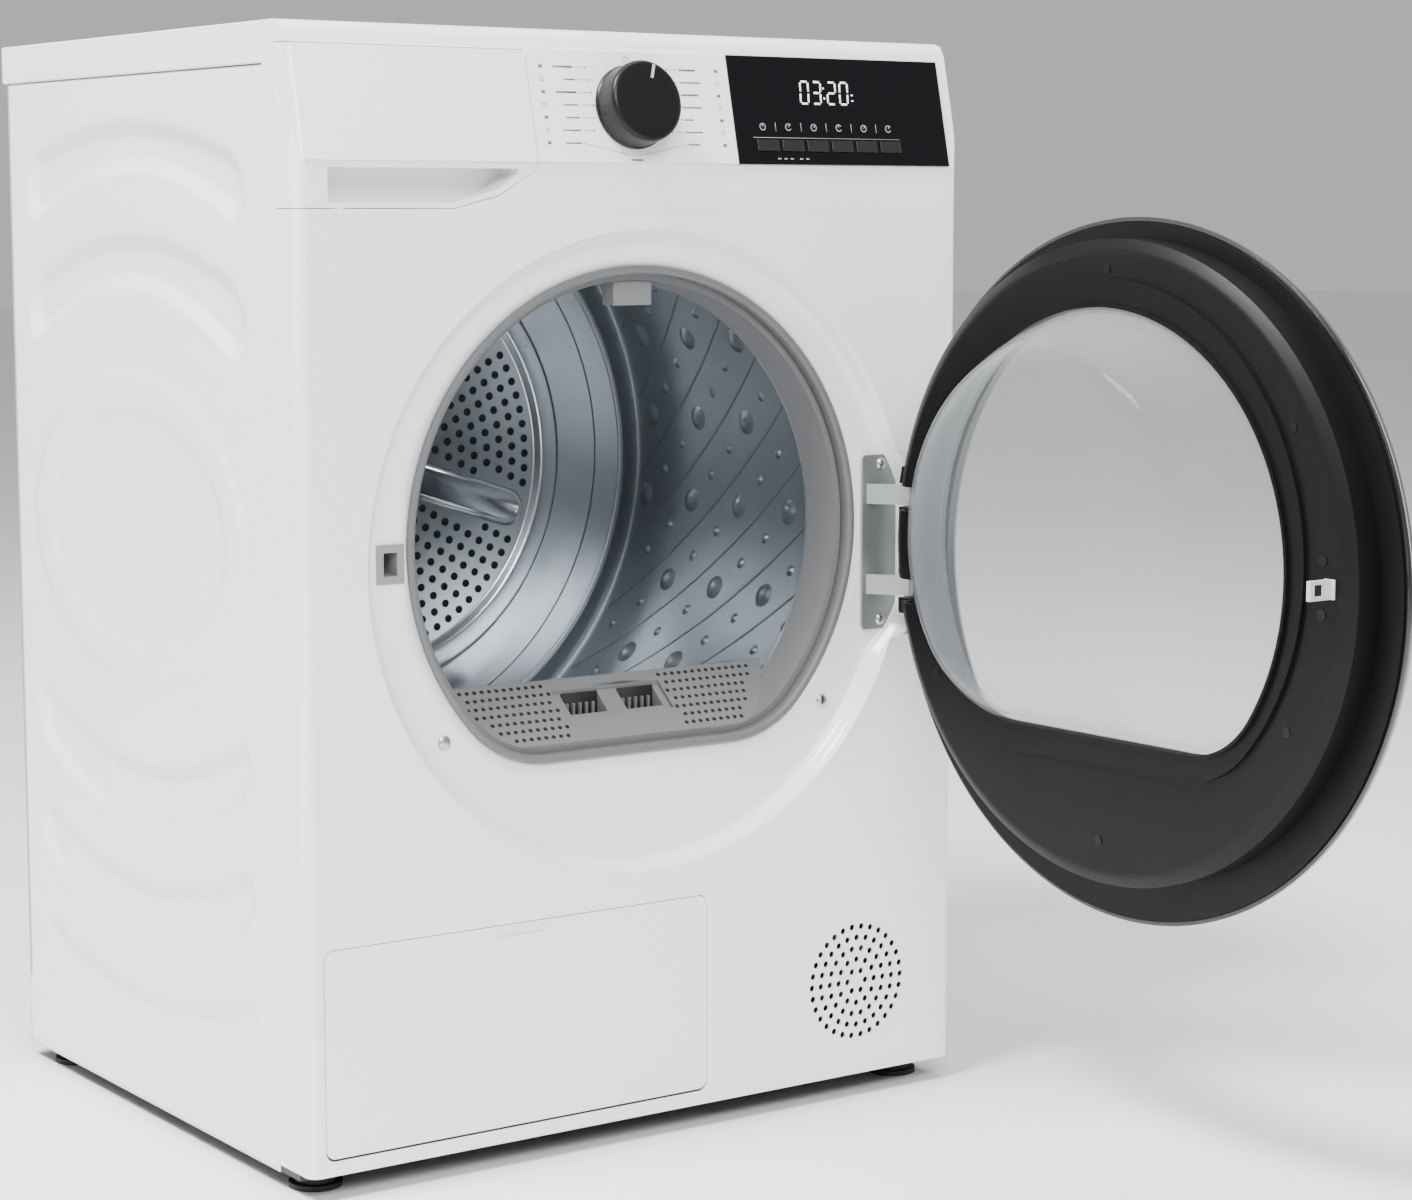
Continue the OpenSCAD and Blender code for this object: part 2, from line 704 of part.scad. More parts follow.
// clear moulded bowl that reaches into the mouth of the drum
module door_bowl() {
    f = hinge_y + face_o;
    r = door_r - 80;
    zc = door_z + 15;
    z1 = seal_flat + 30;
    color("lightcyan", 0.4) swing() {
        difference() {
            intersection() {
                spin(0, zc) polygon([[0, f - 3], [r, f - 3], [r, f + 8], [r - 30, f + 58], [r - 45, f + 68], [0, f + 69]]);
                bar(-r, r) polygon([[f - 5, z1 + 400], [f - 5, z1], [f + 6, z1], [f + 80, z1 + 58], [f + 80, z1 + 400]]);
                slab(f - 3, f + 70) door_lip(-0.4);
            }
            intersection() {
                spin(0, zc) polygon([[0, f - 4], [r - 3, f - 4], [r - 3, f + 7], [r - 33, f + 56], [r - 46, f + 65], [0, f + 66]]);
                bar(-r, r) polygon([[f - 5, z1 + 400], [f - 5, z1 + 3], [f + 5, z1 + 3], [f + 80, z1 + 61], [f + 80, z1 + 400]]);
                slab(f - 4, f + 70) door_lip(-3.4);
            }
        }
        slab(f - 6, f - 3) difference() {
            translate([0, door_z + 14]) circle(door_r - 60, $fn = 96);
            door_lip(-3.4);
        }
    }
}

// strike hook that engages the catch
module door_hook() {
    f = hinge_y + face_o;
    color("lightgray") swing() difference() {
        union() {
            box(latch_x - 1.8, f, latch_z - 7, [3.6, 22, 14]);
            box(latch_x - 5, f, latch_z - 7, [10, 1.4, 14]);
        }
        box(latch_x - 3, f + 7, latch_z - 4, [6, 10, 8]);
    }
}

module door_screws() {
    f = hinge_y + face_o;
    color("black") swing() {
        for (a = [0:60:300]) rod(211 * cos(a + 30) * door_r / 262, door_z + 14 + 211 * sin(a + 30) * door_r / 262,
            3.4, f, f + 0.8);
        for (s = [-1, 1]) rod(latch_x + 7, latch_z + s * 18.5, 4, f, f + 0.8);
    }
}

module door_hinge_pin() {
    color("silver") swing() translate([hinge_x, F + hinge_y, door_z - 54])
        cylinder(h = 118, r = pin_r, $fn = 48);
}

// ---- drum ----

module drum_wall() {
    r = drum_r;
    o = drum_out;
    color("lightslategray") spin(0, drum_z) polygon([[rim_r, drum_y0], [o, drum_y0], [o, drum_y1],
        [back_r + 3, drum_step], [back_r + 1.2, drum_step + 1], [back_r + 1.2, back_y],
        [back_r, back_y], [back_r, drum_step - 1.4], [back_r + 3, drum_step - 1.4], [r, drum_y1 - 2],
        [r, drum_y0 + 1.2], [rim_r, drum_y0 + 1.2]]);
}

// perforated rear disc with its stamped rings, and the stub shaft behind it
module drum_back() {
    color("silver") difference() {
        spin(0, drum_z) polygon([[0, back_y - 1.2], [back_r - 68, back_y - 1.2], [back_r - 62, back_y - 8],
            [back_r - 46, back_y - 8], [back_r - 40, back_y - 1.2], [back_r, back_y - 1.2], [back_r, back_y],
            [back_r - 40.6, back_y], [back_r - 46.6, back_y - 6.8], [back_r - 61.4, back_y - 6.8],
            [back_r - 67.4, back_y], [0, back_y]]);
        for (a = [0:30:330], i = [0:3]) rod((70 + i * 24) * cos(a + 15), drum_z + (70 + i * 24) * sin(a + 15),
            5, back_y - 5, back_y + 5);
    }
    color("gray") {
        rod(0, drum_z, 42, back_y, back_y + 3);
        rod(0, drum_z, shaft_r, back_y + 3, side_d - 2);
    }
}

module drum_paddles() {
    r = drum_r;
    color("whitesmoke") intersection() {
        rod(0, drum_z, r, drum_y0 + 10, drum_step - 3);
        for (i = [0:paddles - 1]) translate([0, F + drum_step - 3, drum_z]) rotate([0, -60 - i * 360 / paddles, 0])
            rotate([90, 0, 0]) linear_extrude(drum_step - drum_y0 - 13)
            polygon([[r + 5, -32], [r - paddle_h, -9], [r - paddle_h, 9], [r + 5, 32]]);
    }
}

// front support rollers
module roller(s) {
    x = s * roller_d * sin(roller_a);
    z = drum_z - roller_d * cos(roller_a);
    y = drum_y0 - 4;
    color("dimgray") difference() {
        rod(x, z, roller_r, y + 6, y + 26);
        rod(x, z, 4 + run, y, y + 30);
    }
}
module roller_left() roller(-1);
module roller_right() roller(1);

// ---- drive, fan and heat pump in the base ----

module motor() {
    y = belt_y;
    color("slategray") {
        difference() {
            rod(motor_x, motor_z, 46, y + 18, y + 128);
            rod(motor_x, motor_z, 6 + run, y, y + 140);
        }
        difference() {
            box(motor_x - 34, y + 30, floor_gap + 4, [68, 86, motor_z - floor_gap - 34]);
            rod(motor_x, motor_z, 45, y + 10, y + 140);
        }
    }
}

// motor shaft with the ribbed belt pulley at its front end
module motor_shaft() {
    color("silver") {
        rod(motor_x, motor_z, pulley_r, belt_y - 8, belt_y + 8);
        rod(motor_x, motor_z, 6, belt_y + 8, side_d - 36);
    }
}

module process_fan() {
    y = side_d - 69;
    color("whitesmoke") difference() {
        union() {
            rod(motor_x, motor_z, 60, y + 28, y + 30);
            rod(motor_x, motor_z, 14, y, y + 28);
            for (a = [0:30:330]) translate([motor_x, F + y, motor_z]) rotate([0, a, 0])
                translate([30, 2, -1]) cube([28, 26, 2]);
            difference() {
                rod(motor_x, motor_z, 60, y, y + 2);
                rod(motor_x, motor_z, 40, y - 1, y + 3);
            }
        }
        rod(motor_x, motor_z, 6, y - 2, y + 32);
    }
}

module fan_housing() {
    y = side_d - 73;
    color("darkgray") difference() {
        union() {
            rod(motor_x, motor_z, 68, y, y + 70);
            box(motor_x - 68, y, motor_z, [40, 70, 110]);
        }
        rod(motor_x, motor_z, 65, y + 2, y + 68);
        box(motor_x - 65, y + 2, motor_z, [34, 66, 112]);
        rod(motor_x, motor_z, 42, y - 1, y + 4);
    }
}

// poly-V belt round the drum and the motor pulley
module drive_belt() {
    dx = motor_x;
    dz = motor_z - drum_z;
    color("black") difference() {
        slab(belt_y - 6, belt_y + 6) hull() {
            translate([0, drum_z]) circle(drum_out + 2.2, $fn = 120);
            translate([dx, motor_z]) circle(pulley_r + 2.2, $fn = 32);
        }
        slab(belt_y - 8, belt_y + 8) hull() {
            translate([0, drum_z]) circle(drum_out + 0.4, $fn = 120);
            translate([dx, motor_z]) circle(pulley_r + 0.4, $fn = 32);
        }
    }
}

// refrigerant compressor with its two copper pipes
module compressor() {
    y = 170;
    color("dimgray") {
        translate([motor_x + 30, F + y, floor_gap + 14]) {
            cylinder(h = 120, r = 56, $fn = 96);
            translate([0, 0, 120]) cylinder(h = 14, r1 = 56, r2 = 40, $fn = 96);
        }
        for (a = [45:90:315]) translate([motor_x + 30 + 52 * cos(a), F + y + 52 * sin(a), floor_gap + 4])
            cylinder(h = 10, r = 9, $fn = 32);
        for (k = [-30, 30]) translate([2, F + y + k, floor_gap + 62]) rotate([0, 90, 0])
            cylinder(h = motor_x - 13, r = 4, $fn = 32);
    }
}

module fin_block(x, y, w, d) {
    z = floor_gap + 12;
    color("silver") {
        for (i = [0:floor(w / 12)]) box(x + i * 12, y, z, [2, d, 150]);
        for (k = [0:2]) translate([x, F + y + d / 2, z + 25 + k * 50]) rotate([0, 90, 0])
            cylinder(h = floor(w / 12) * 12 + 2, r = 5, $fn = 32);
    }
}

// evaporator in front and condenser behind it
module heat_exchangers() {
    fin_block(-240, 110, 240, 50);
    fin_block(-240, 168, 240, 58);
}

// spigot at the back for an optional drain hose
module drain_spigot() {
    x = -hw + 60;
    color("dimgray") difference() {
        union() {
            rod(x, 118, 11, side_d, side_d + sheet + 3);
            rod(x, 118, 14, side_d + sheet, side_d + sheet + 3);
            rod(x, 118, 8, side_d + sheet + 3, side_d + 32);
        }
        rod(x, 118, 5.5, side_d - 1, side_d + 40);
    }
}

// gland where the mains lead enters; the lead itself is not part of the row
module mains_inlet() {
    x = hw - 60;
    color("dimgray") difference() {
        union() {
            rod(x, base_top + 15, 8.5, side_d, side_d + sheet + 3);
            rod(x, base_top + 15, 12, side_d + sheet, side_d + sheet + 4);
        }
        rod(x, base_top + 15, 4.5, side_d - 1, side_d + 10);
    }
}

// moulded duct: takes drum air down past the filter and over the heat exchangers
module process_duct() {
    z = floor_gap + 4;
    color("gray") difference() {
        union() {
            box(-56, 42, z + 176, [112, 18, seal_flat - z - 176]);
            box(-56, 42, z + 156, [112, 62, 20]);
            box(-262, 102, z, [300, 134, 176]);
        }
        box(-53, 43.5, z + 158, [106, 15, seal_flat]);
        box(-53, 43.5, z + 158, [88, 70, 16]);
        box(-256, 104, z + 8, [288, 126, 160]);
        for (k = [-30, 30]) translate([20, F + 170 + k, z + 58]) rotate([0, 90, 0]) cylinder(h = 30, r = 4.2, $fn = 32);
    }
}

// ---- service flap, grille and cooling fan ----

module service_flap() {
    r = 8;
    color("whitesmoke") {
        difference() {
            slab(0, 2.4) rounded(flap_x0 + gap, flap_z0 + 1.8, flap_w - 2 * gap, flap_h - 1.8 - gap, r - gap);
            slab(-1, 3) rounded(flap_x0 + 147, flap_z0 + flap_h - 10, 44, 7, 3);
        }
        slab(2.4, 6) rounded(flap_x0 + 145, flap_z0 + flap_h - 12, 48, 10, 3);
        for (x = [flap_x0 + 20, flap_x0 + flap_w - 32]) difference() {
            bar(x, x + 12) {
                translate(flap_pin) circle(4, $fn = 32);
                translate([1.9, flap_pin[1] - 3]) square([flap_pin[0] - 1.9, 6.4]);
            }
            translate([x - 1, F + flap_pin[0], flap_pin[1]]) rotate([0, 90, 0])
                cylinder(h = 20, r = 2 + run, $fn = 32);
        }
    }
}

module fan_grille() {
    color("whitesmoke") slab(0, 2) difference() {
        translate([fan_x, fan_z]) circle(grille_r, $fn = 96);
        for (k = [1:grille_rings], i = [0:6 * k - 1])
            translate([fan_x + 9 * k * cos(i * 60 / k), fan_z + 9 * k * sin(i * 60 / k)]) circle(2.6, $fn = 24);
    }
}

// four-blade cooling fan behind the grille
module cooling_fan() {
    color("dimgray") difference() {
        union() {
            rod(fan_x, fan_z, 15, 26, 42);
            for (a = [0:60:300]) translate([fan_x, F + 34, fan_z]) rotate([0, a, 0]) rotate([25, 0, 0])
                translate([10, -8, -1]) cube([38, 16, 2]);
        }
        rod(fan_x, fan_z, 3 + run, 20, 60);
    }
}

module fan_shroud() {
    color("dimgray") {
        difference() {
            rod(fan_x, fan_z, grille_r + 2, 2, 56);
            rod(fan_x, fan_z, grille_r - 3, 1, 60);
        }
        difference() {
            for (a = [0, 90]) translate([fan_x, F + 52, fan_z]) rotate([0, a, 0]) translate([-grille_r, -2, -4])
                cube([2 * grille_r, 4, 8]);
            rod(fan_x, fan_z, 5, 40, 60);
        }
        rod(fan_x, fan_z, 10, 46, 56);
        rod(fan_x, fan_z, 3, 27, 46);
    }
}

left_side_panel();
right_side_panel();
front_panel();
top_panel();
rear_panel();
rear_duct_cover();
rear_screws();
base_tray();
foot_front_left();
foot_front_right();
foot_rear_left();
foot_rear_right();
control_fascia();
programme_panel();
display_window();
programme_knob();
key_1();
key_2();
key_3();
key_4();
key_5();
key_6();
drawer_front();
water_tank();
tank_housing();
door_seal();
opening_collar();
front_bulkhead();
filter_grille();
lint_filter();
drum_lamp();
latch_receptacle();
hinge_plate();
front_screws();
door_outer_ring();
door_inner_frame();
door_clamp_ring();
door_bowl();
door_hook();
door_screws();
door_hinge_pin();
drum_wall();
drum_back();
drum_paddles();
roller_left();
roller_right();
motor();
motor_shaft();
process_fan();
fan_housing();
drive_belt();
compressor();
heat_exchangers();
process_duct();
drain_spigot();
mains_inlet();
service_flap();
fan_grille();
cooling_fan();
fan_shroud();
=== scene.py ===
import math

import bmesh
import bpy
from mathutils import Matrix, Vector


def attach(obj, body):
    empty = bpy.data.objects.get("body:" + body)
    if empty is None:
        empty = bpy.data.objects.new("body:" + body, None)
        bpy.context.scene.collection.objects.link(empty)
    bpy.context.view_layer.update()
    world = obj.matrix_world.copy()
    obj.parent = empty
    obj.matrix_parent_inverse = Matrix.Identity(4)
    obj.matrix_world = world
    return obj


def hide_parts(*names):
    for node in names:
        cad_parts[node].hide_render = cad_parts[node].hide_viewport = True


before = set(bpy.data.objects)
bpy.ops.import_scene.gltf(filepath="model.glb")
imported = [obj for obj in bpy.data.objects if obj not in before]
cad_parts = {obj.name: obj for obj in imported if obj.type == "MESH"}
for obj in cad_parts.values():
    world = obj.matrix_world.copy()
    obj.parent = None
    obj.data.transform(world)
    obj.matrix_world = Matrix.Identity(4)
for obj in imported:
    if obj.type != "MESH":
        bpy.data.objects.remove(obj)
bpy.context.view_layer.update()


# ---- Camera, floor and lights ----
# A plain studio: a pale floor, soft boxes over the left shoulder, the left side and the top, weaker
# ones for the black door and the drum, and an even pale surround.

def look(position, yaw, pitch):
    """Placing for a camera or lamp: yaw turns from +Y towards +X, pitch tips it down."""
    turn = Matrix.Rotation(math.radians(-yaw), 4, "Z") @ Matrix.Rotation(math.radians(90 - pitch), 4, "X")
    return Matrix.Translation(position) @ turn


camera = bpy.data.objects.new("camera", bpy.data.cameras.new("camera"))
camera.data.lens = 80.03
camera.data.sensor_width = 36
camera.data.clip_end = 60
camera.matrix_world = look((-1.3341, -2.2249, 0.715), 35.127, 7.034)
bpy.context.collection.objects.link(camera)
bpy.context.scene.camera = camera


def soft_box(name, position, yaw, pitch, width, height, watts, colour=(1, 1, 1)):
    lamp = bpy.data.objects.new(name, bpy.data.lights.new(name, "AREA"))
    lamp.data.shape = "RECTANGLE"
    lamp.data.size = width
    lamp.data.size_y = height
    lamp.data.energy = watts
    lamp.data.color = colour
    lamp.matrix_world = look(position, yaw, pitch)
    bpy.context.collection.objects.link(lamp)


soft_box("front_box", (-1.4, -3.4, 2.9), 18, 34, 2.2, 1.4, 170)
soft_box("left_box", (-1.7, -0.3, 3.3), 80, 64, 1.4, 0.8, 290, (0.97, 0.98, 1.0))
soft_box("right_box", (2.9, -0.9, 1.2), -76, 8, 0.7, 2.0, 16)
soft_box("top_box", (0.4, -0.2, 3.2), 0, 90, 2.2, 2.2, 60)
soft_box("drum_box", (-0.10, -0.165, 0.715), 30, 42, 0.22, 0.05, 1.1)

world = bpy.data.worlds.new("surround")
world.use_nodes = True
world.node_tree.nodes["Background"].inputs["Color"].default_value = (0.95, 0.96, 0.98, 1)
world.node_tree.nodes["Background"].inputs["Strength"].default_value = 0.55
bpy.context.scene.world = world


# ---- Pressed side panels ----
# Enamelled steel sheet, 1.2 mm thick. Five shallow bands and a double oval ring are pressed
# into each one so that it doesn't drum; the edges are folded in behind the front and back.

MM = 0.001
FRONT = -0.257


def at(x, depth, z):
    """A point from millimetres: x and z in the part's frame, depth behind the front sheet."""
    return Vector((x * MM, FRONT + depth * MM, z * MM))


def detail_group():
    """Cloudy shade, uneven sheen and fine grain, shared by every painted and moulded finish."""
    g = bpy.data.node_groups.new("surface_detail", "ShaderNodeTree")
    for name, kind in (("Colour", "Color"), ("Shade", "Float"), ("Roughness", "Float"),
                       ("Spread", "Float"), ("Grain", "Float"), ("Height", "Float")):
        g.interface.new_socket(name, in_out="INPUT", socket_type="NodeSocket" + kind)
    for name, kind in (("Colour", "Color"), ("Roughness", "Float"), ("Normal", "Vector")):
        g.interface.new_socket(name, in_out="OUTPUT", socket_type="NodeSocket" + kind)
    new, link = g.nodes.new, g.links.new
    given, out = new("NodeGroupInput"), new("NodeGroupOutput")
    place = new("ShaderNodeTexCoord")
    cloud, grain = new("ShaderNodeTexNoise"), new("ShaderNodeTexNoise")
    cloud.inputs["Scale"].default_value = 5
    cloud.inputs["Detail"].default_value = 4
    grain.inputs["Detail"].default_value = 2
    link(place.outputs["Object"], cloud.inputs["Vector"])
    link(place.outputs["Object"], grain.inputs["Vector"])
    link(given.outputs["Grain"], grain.inputs["Scale"])
    levels = []
    for source, spread, middle in ((cloud, "Shade", 1.0), (grain, "Spread", None)):
        centre, scaled, total = (new("ShaderNodeMath") for _ in range(3))
        centre.operation, scaled.operation = "SUBTRACT", "MULTIPLY"
        centre.inputs[1].default_value = 0.5
        link(source.outputs["Fac"], centre.inputs[0])
        link(centre.outputs[0], scaled.inputs[0])
        link(given.outputs[spread], scaled.inputs[1])
        link(scaled.outputs[0], total.inputs[0])
        if middle is None:
            link(given.outputs["Roughness"], total.inputs[1])
        else:
            total.inputs[1].default_value = middle
        levels.append(total)
    tone = new("ShaderNodeHueSaturation")
    link(levels[0].outputs[0], tone.inputs["Value"])
    link(given.outputs["Colour"], tone.inputs["Color"])
    bump = new("ShaderNodeBump")
    bump.inputs["Distance"].default_value = 0.0006
    link(grain.outputs["Fac"], bump.inputs["Height"])
    link(given.outputs["Height"], bump.inputs["Strength"])
    link(tone.outputs[0], out.inputs["Colour"])
    link(levels[1].outputs[0], out.inputs["Roughness"])
    link(bump.outputs[0], out.inputs["Normal"])
    return g


DETAIL = detail_group()


def finish(name, colour, roughness, shade=0.04, spread=0.06, grain=900, height=0.04,
           **sockets):
    """A material: colour and roughness vary a little over the surface, the rest is even."""
    m = bpy.data.materials.new(name)
    m.use_nodes = True
    tree = m.node_tree
    shader = tree.nodes["Principled BSDF"]
    detail = tree.nodes.new("ShaderNodeGroup")
    detail.node_tree = DETAIL
    values = {"Colour": (*colour, 1), "Shade": shade, "Roughness": roughness, "Spread": spread,
              "Grain": grain, "Height": height}
    for key, value in values.items():
        detail.inputs[key].default_value = value
    tree.links.new(detail.outputs["Colour"], shader.inputs["Base Color"])
    tree.links.new(detail.outputs["Roughness"], shader.inputs["Roughness"])
    tree.links.new(detail.outputs["Normal"], shader.inputs["Normal"])
    for key, value in sockets.items():
        shader.inputs[key.replace("_", " ")].default_value = value
    return m


def piece(name, bm, material, slot, body, *replaced, bevel=0.0, thick=0.0, segments=2):
    """Turns a bmesh into a shown piece that rides on a body and stands for the named nodes."""
    mesh = bpy.data.meshes.new(name)
    bm.to_mesh(mesh)
    bm.free()
    mesh.shade_smooth()
    mesh.materials.append(material)
    o = bpy.data.objects.new(name, mesh)
    bpy.context.collection.objects.link(o)
    if thick:
        wall = o.modifiers.new("wall", "SOLIDIFY")
        wall.thickness = thick
        wall.offset = -1
    if bevel:
        soft = o.modifiers.new("edges", "BEVEL")
        soft.width = bevel
        soft.segments = segments
        soft.limit_method = "ANGLE"
        soft.angle_limit = math.radians(32)
        o.modifiers.new("shading", "WEIGHTED_NORMAL")
    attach(o, body)
    if replaced:
        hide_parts(*replaced)
    return o


def node_bmesh(node, keep=None):
    """A merged copy of a CAD node, with its flat faces made whole."""
    bm = bmesh.new()
    bm.from_mesh(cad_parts[node].data)
    bmesh.ops.remove_doubles(bm, verts=bm.verts, dist=0.00002)
    if keep:
        gone = [f for f in bm.faces if not keep(f.calc_center_median())]
        bmesh.ops.delete(bm, geom=gone, context="FACES")
    bmesh.ops.dissolve_limit(bm, angle_limit=math.radians(0.6), verts=bm.verts, edges=bm.edges)
    return bm


enamel = finish("white_enamel", (0.90, 0.905, 0.92), 0.26, shade=0.015, spread=0.05, grain=420,
                height=0.02, Coat_Weight=0.25, Coat_Roughness=0.12)

BANDS = [  # upper edge and lower edge at the back, the middle and the front, as (depth, z)
    ((467, 757), (260, 783), (88, 751), (460, 707), (271, 748), (100, 709)),
    ((468, 655), (264, 697), (89, 656), (460, 611), (275, 659), (99, 605)),
    ((463, 328), (221, 289), (93, 329), (470, 285), (206, 243), (103, 283)),
    ((464, 227), (190, 201), (93, 232), (466, 184), (192, 152), (98, 185)),
    ((463, 129), (177, 111), (89, 134), (461, 91), (196, 60), (94, 87))]
OVAL = (279, 470)
OVAL_OUTER = (194, 126)
OVAL_INNER = (150, 87)
BAND_PRESS, OVAL_RAISE = 5.5, 1.7  # the oval stands out, the rest of the sheet sits back by as much
SIDE_BOTTOM, SIDE_TOP, SIDE_FRONT, SIDE_BACK = 13, 820, 49, 506


def parabola(a, b, c, x):
    """Height at x of the curve through three (x, z) points."""
    return sum(p[1] * (x - q[0]) * (x - r[0]) / ((p[0] - q[0]) * (p[0] - r[0]))
               for p, q, r in ((a, b, c), (b, c, a), (c, a, b)))


def ramp(value, width):
    """Smooth step from 0 to 1 as value runs from 0 to width."""
    t = min(max(value / width, 0), 1)
    return t * t * (3 - 2 * t)


def inset(depth, z):
    """How far the side sheet lies inside the cabinet's widest plane, in millimetres."""
    band_in = 0
    for band in BANDS:
        upper, lower = parabola(*band[:3], depth), parabola(*band[3:], depth)
        middle, half = (upper + lower) / 2, max((upper - lower) / 2, 1)
        front = (band[2][0] + band[5][0]) / 2 - 8
        back = (band[0][0] + band[3][0]) / 2 + 6
        beyond = max(front + half - depth, depth - back + half, 0)
        off = math.hypot(beyond, z - middle) if beyond else abs(z - middle)
        band_in = max(band_in, ramp(half - off + 4, 15))
    share = [math.hypot((depth - OVAL[0]) / a, (z - OVAL[1]) / b) for a, b in (OVAL_OUTER, OVAL_INNER)]
    oval_out = min(ramp((1 - share[0]) * OVAL_OUTER[1], 8), ramp((share[1] - 1) * OVAL_INNER[1], 8))
    return OVAL_RAISE * (1 - oval_out) * ramp(z - 61, 16) + BAND_PRESS * band_in * ramp(z - 61, 6)


CELL = 3.6
for side, label in ((-1, "left"), (1, "right")):
    bm = bmesh.new()
    across = round((SIDE_BACK - SIDE_FRONT) / CELL)
    up = round((SIDE_TOP - SIDE_BOTTOM) / CELL)
    bmesh.ops.create_grid(bm, x_segments=across, y_segments=up, size=0.5)
    for v in bm.verts:
        depth = SIDE_FRONT + 0.4 + (SIDE_BACK - SIDE_FRONT - 0.8) * (0.5 - v.co.x * -side)
        z = SIDE_BOTTOM + (SIDE_TOP - SIDE_BOTTOM - 0.8) * (v.co.y + 0.5)
        v.co = at(side * (299 - inset(depth, z)), depth, z)
    bmesh.ops.recalc_face_normals(bm, faces=bm.faces)
    if (bm.faces[0].normal.x > 0) != (side > 0):
        bmesh.ops.reverse_faces(bm, faces=bm.faces)
    piece(label + "_side_sheet", bm, enamel, "white_enamel", "cabinet", label + "_side_panel", thick=1.2 * MM)


# ---- Worktop ----
# A laminated board in a white moulded frame. It sits on the side panels, is pushed under the
# fascia from behind and is held at the back by two screws.

laminate = finish("white_laminate", (0.90, 0.905, 0.92), 0.34, shade=0.02, spread=0.08, grain=650, height=0.06)
piece("worktop", node_bmesh("top_panel"), laminate, "white_laminate", "cabinet", "top_panel",
      bevel=3.4 * MM, segments=4)


# ---- Front sheet and pressed door recess ----
# One steel pressing, enamelled white: flat round the outside, with a soft rolled lip down into
# the recess that takes the door's rim, and a neck towards the hinge.

STEPS = 144


def loft(bm, loops, closed=False):
    """Joins loops of points, all of one count, into a smooth wall; closed joins last to first."""
    rings = [[bm.verts.new(p) for p in loop] for loop in loops]
    for a, b in zip(rings, rings[1:] + (rings[:1] if closed else [])):
        for i in range(len(a)):
            bm.faces.new((a[i - 1], a[i], b[i], b[i - 1]))
    bmesh.ops.recalc_face_normals(bm, faces=bm.faces)
    return rings


def facing(bm, towards):
    """Turns an open shell over if its faces don't look towards a point."""
    score = sum(f.normal.dot(towards - f.calc_center_median()) * f.calc_area() for f in bm.faces)
    if score < 0:
        bmesh.ops.reverse_faces(bm, faces=bm.faces)


def dee(r, zc, flat, rc, depth):
    """A round outline with a flat bottom and rounded lower corners, as points at one depth."""
    dz = flat + rc - zc
    xc = math.sqrt((r - rc) ** 2 - dz * dz)
    low = math.atan2(dz, xc)
    arcs = [((0, zc), r, low, math.pi - low, 88), ((-xc, flat + rc), rc, math.pi - low, 1.5 * math.pi, 16),
            ((-xc, flat), 0, 0, 0, 24), ((xc, flat + rc), rc, 1.5 * math.pi, 2 * math.pi + low, 16)]
    points = []
    for (x, z), radius, start, end, count in arcs:
        for i in range(count):
            t = i / count
            if radius:
                a = start + (end - start) * t
                points.append(at(x + radius * math.cos(a), depth, z + radius * math.sin(a)))
            else:
                points.append(at(x + 2 * xc * t, depth, z))
    return points


RECESS = dict(r=247.4, z=456.7, neck_x=256, neck_low=373, neck_high=527)


def recess_loop(inset, depth):
    """The recess outline: a circle with a neck on the hinge side, as points at one depth."""
    reach = []
    for i in range(STEPS * 4):
        a = 2 * math.pi * i / (STEPS * 4)
        c, s = math.cos(a), math.sin(a)
        best = RECESS["r"] - inset
        if c > 0.2:
            walls = [(RECESS["neck_x"] - inset) / c]
            if s > 0.001:
                walls.append((RECESS["neck_high"] - inset - RECESS["z"]) / s)
            if s < -0.001:
                walls.append((RECESS["neck_low"] + inset - RECESS["z"]) / s)
            best = max(best, min(walls))
        reach.append(best)
    n = len(reach)
    smooth = [sum(reach[(i + k) % n] for k in range(-7, 8)) / 15 for i in range(n)]
    return [at(smooth[i] * math.cos(2 * math.pi * i / n), depth,
               RECESS["z"] + smooth[i] * math.sin(2 * math.pi * i / n)) for i in range(0, n, 4)]


def by_angle(outline):
    """An outline's points again, evenly spaced in angle about the recess's centre."""
    middle = at(0, 0, RECESS["z"])
    polar = sorted((math.atan2(p.z - middle.z, p.x) % (2 * math.pi), math.hypot(p.x, p.z - middle.z))
                   for p in outline)
    polar = [(polar[-1][0] - 2 * math.pi, polar[-1][1])] + polar + [(polar[0][0] + 2 * math.pi, polar[0][1])]
    points = []
    for i in range(STEPS):
        a = 2 * math.pi * i / STEPS
        (a0, r0), (a1, r1) = next((p, q) for p, q in zip(polar, polar[1:]) if q[0] >= a)
        r = r0 + (r1 - r0) * (a - a0) / max(a1 - a0, 1e-9)
        points.append(Vector((r * math.cos(a), outline[0].y, middle.z + r * math.sin(a))))
    return points


piece("front_sheet", node_bmesh("front_panel", lambda c: c.y < FRONT + 1.3 * MM or abs(c.x) > 0.28
                                or c.z > 0.711 or c.z < 0.1),
      enamel, "white_enamel", "cabinet", "front_panel", bevel=0.5 * MM)
roll = [(-0.6, 0.0), (0.8, 0.35), (2.4, 1.4), (4.0, 3.2), (5.2, 5.6), (7.0, 9.6), (8.4, 12.2),
        (10.2, 14.2), (12.6, 15.5), (15.5, 16.0)]
bm = bmesh.new()
rows = [recess_loop(inset, depth) for inset, depth in roll]
OPEN_Z = 470  # height of the opening's centre
rows += [by_angle(dee(216, OPEN_Z, 291.5, 95, 16)), by_angle(dee(204.5, OPEN_Z, 303, 90, 16))]
loft(bm, rows)
LATCH_X, LATCH_Z, HALF_W, HALF_H = -219, 461.5, 9.2, 11.2  # the slot for the latch's body
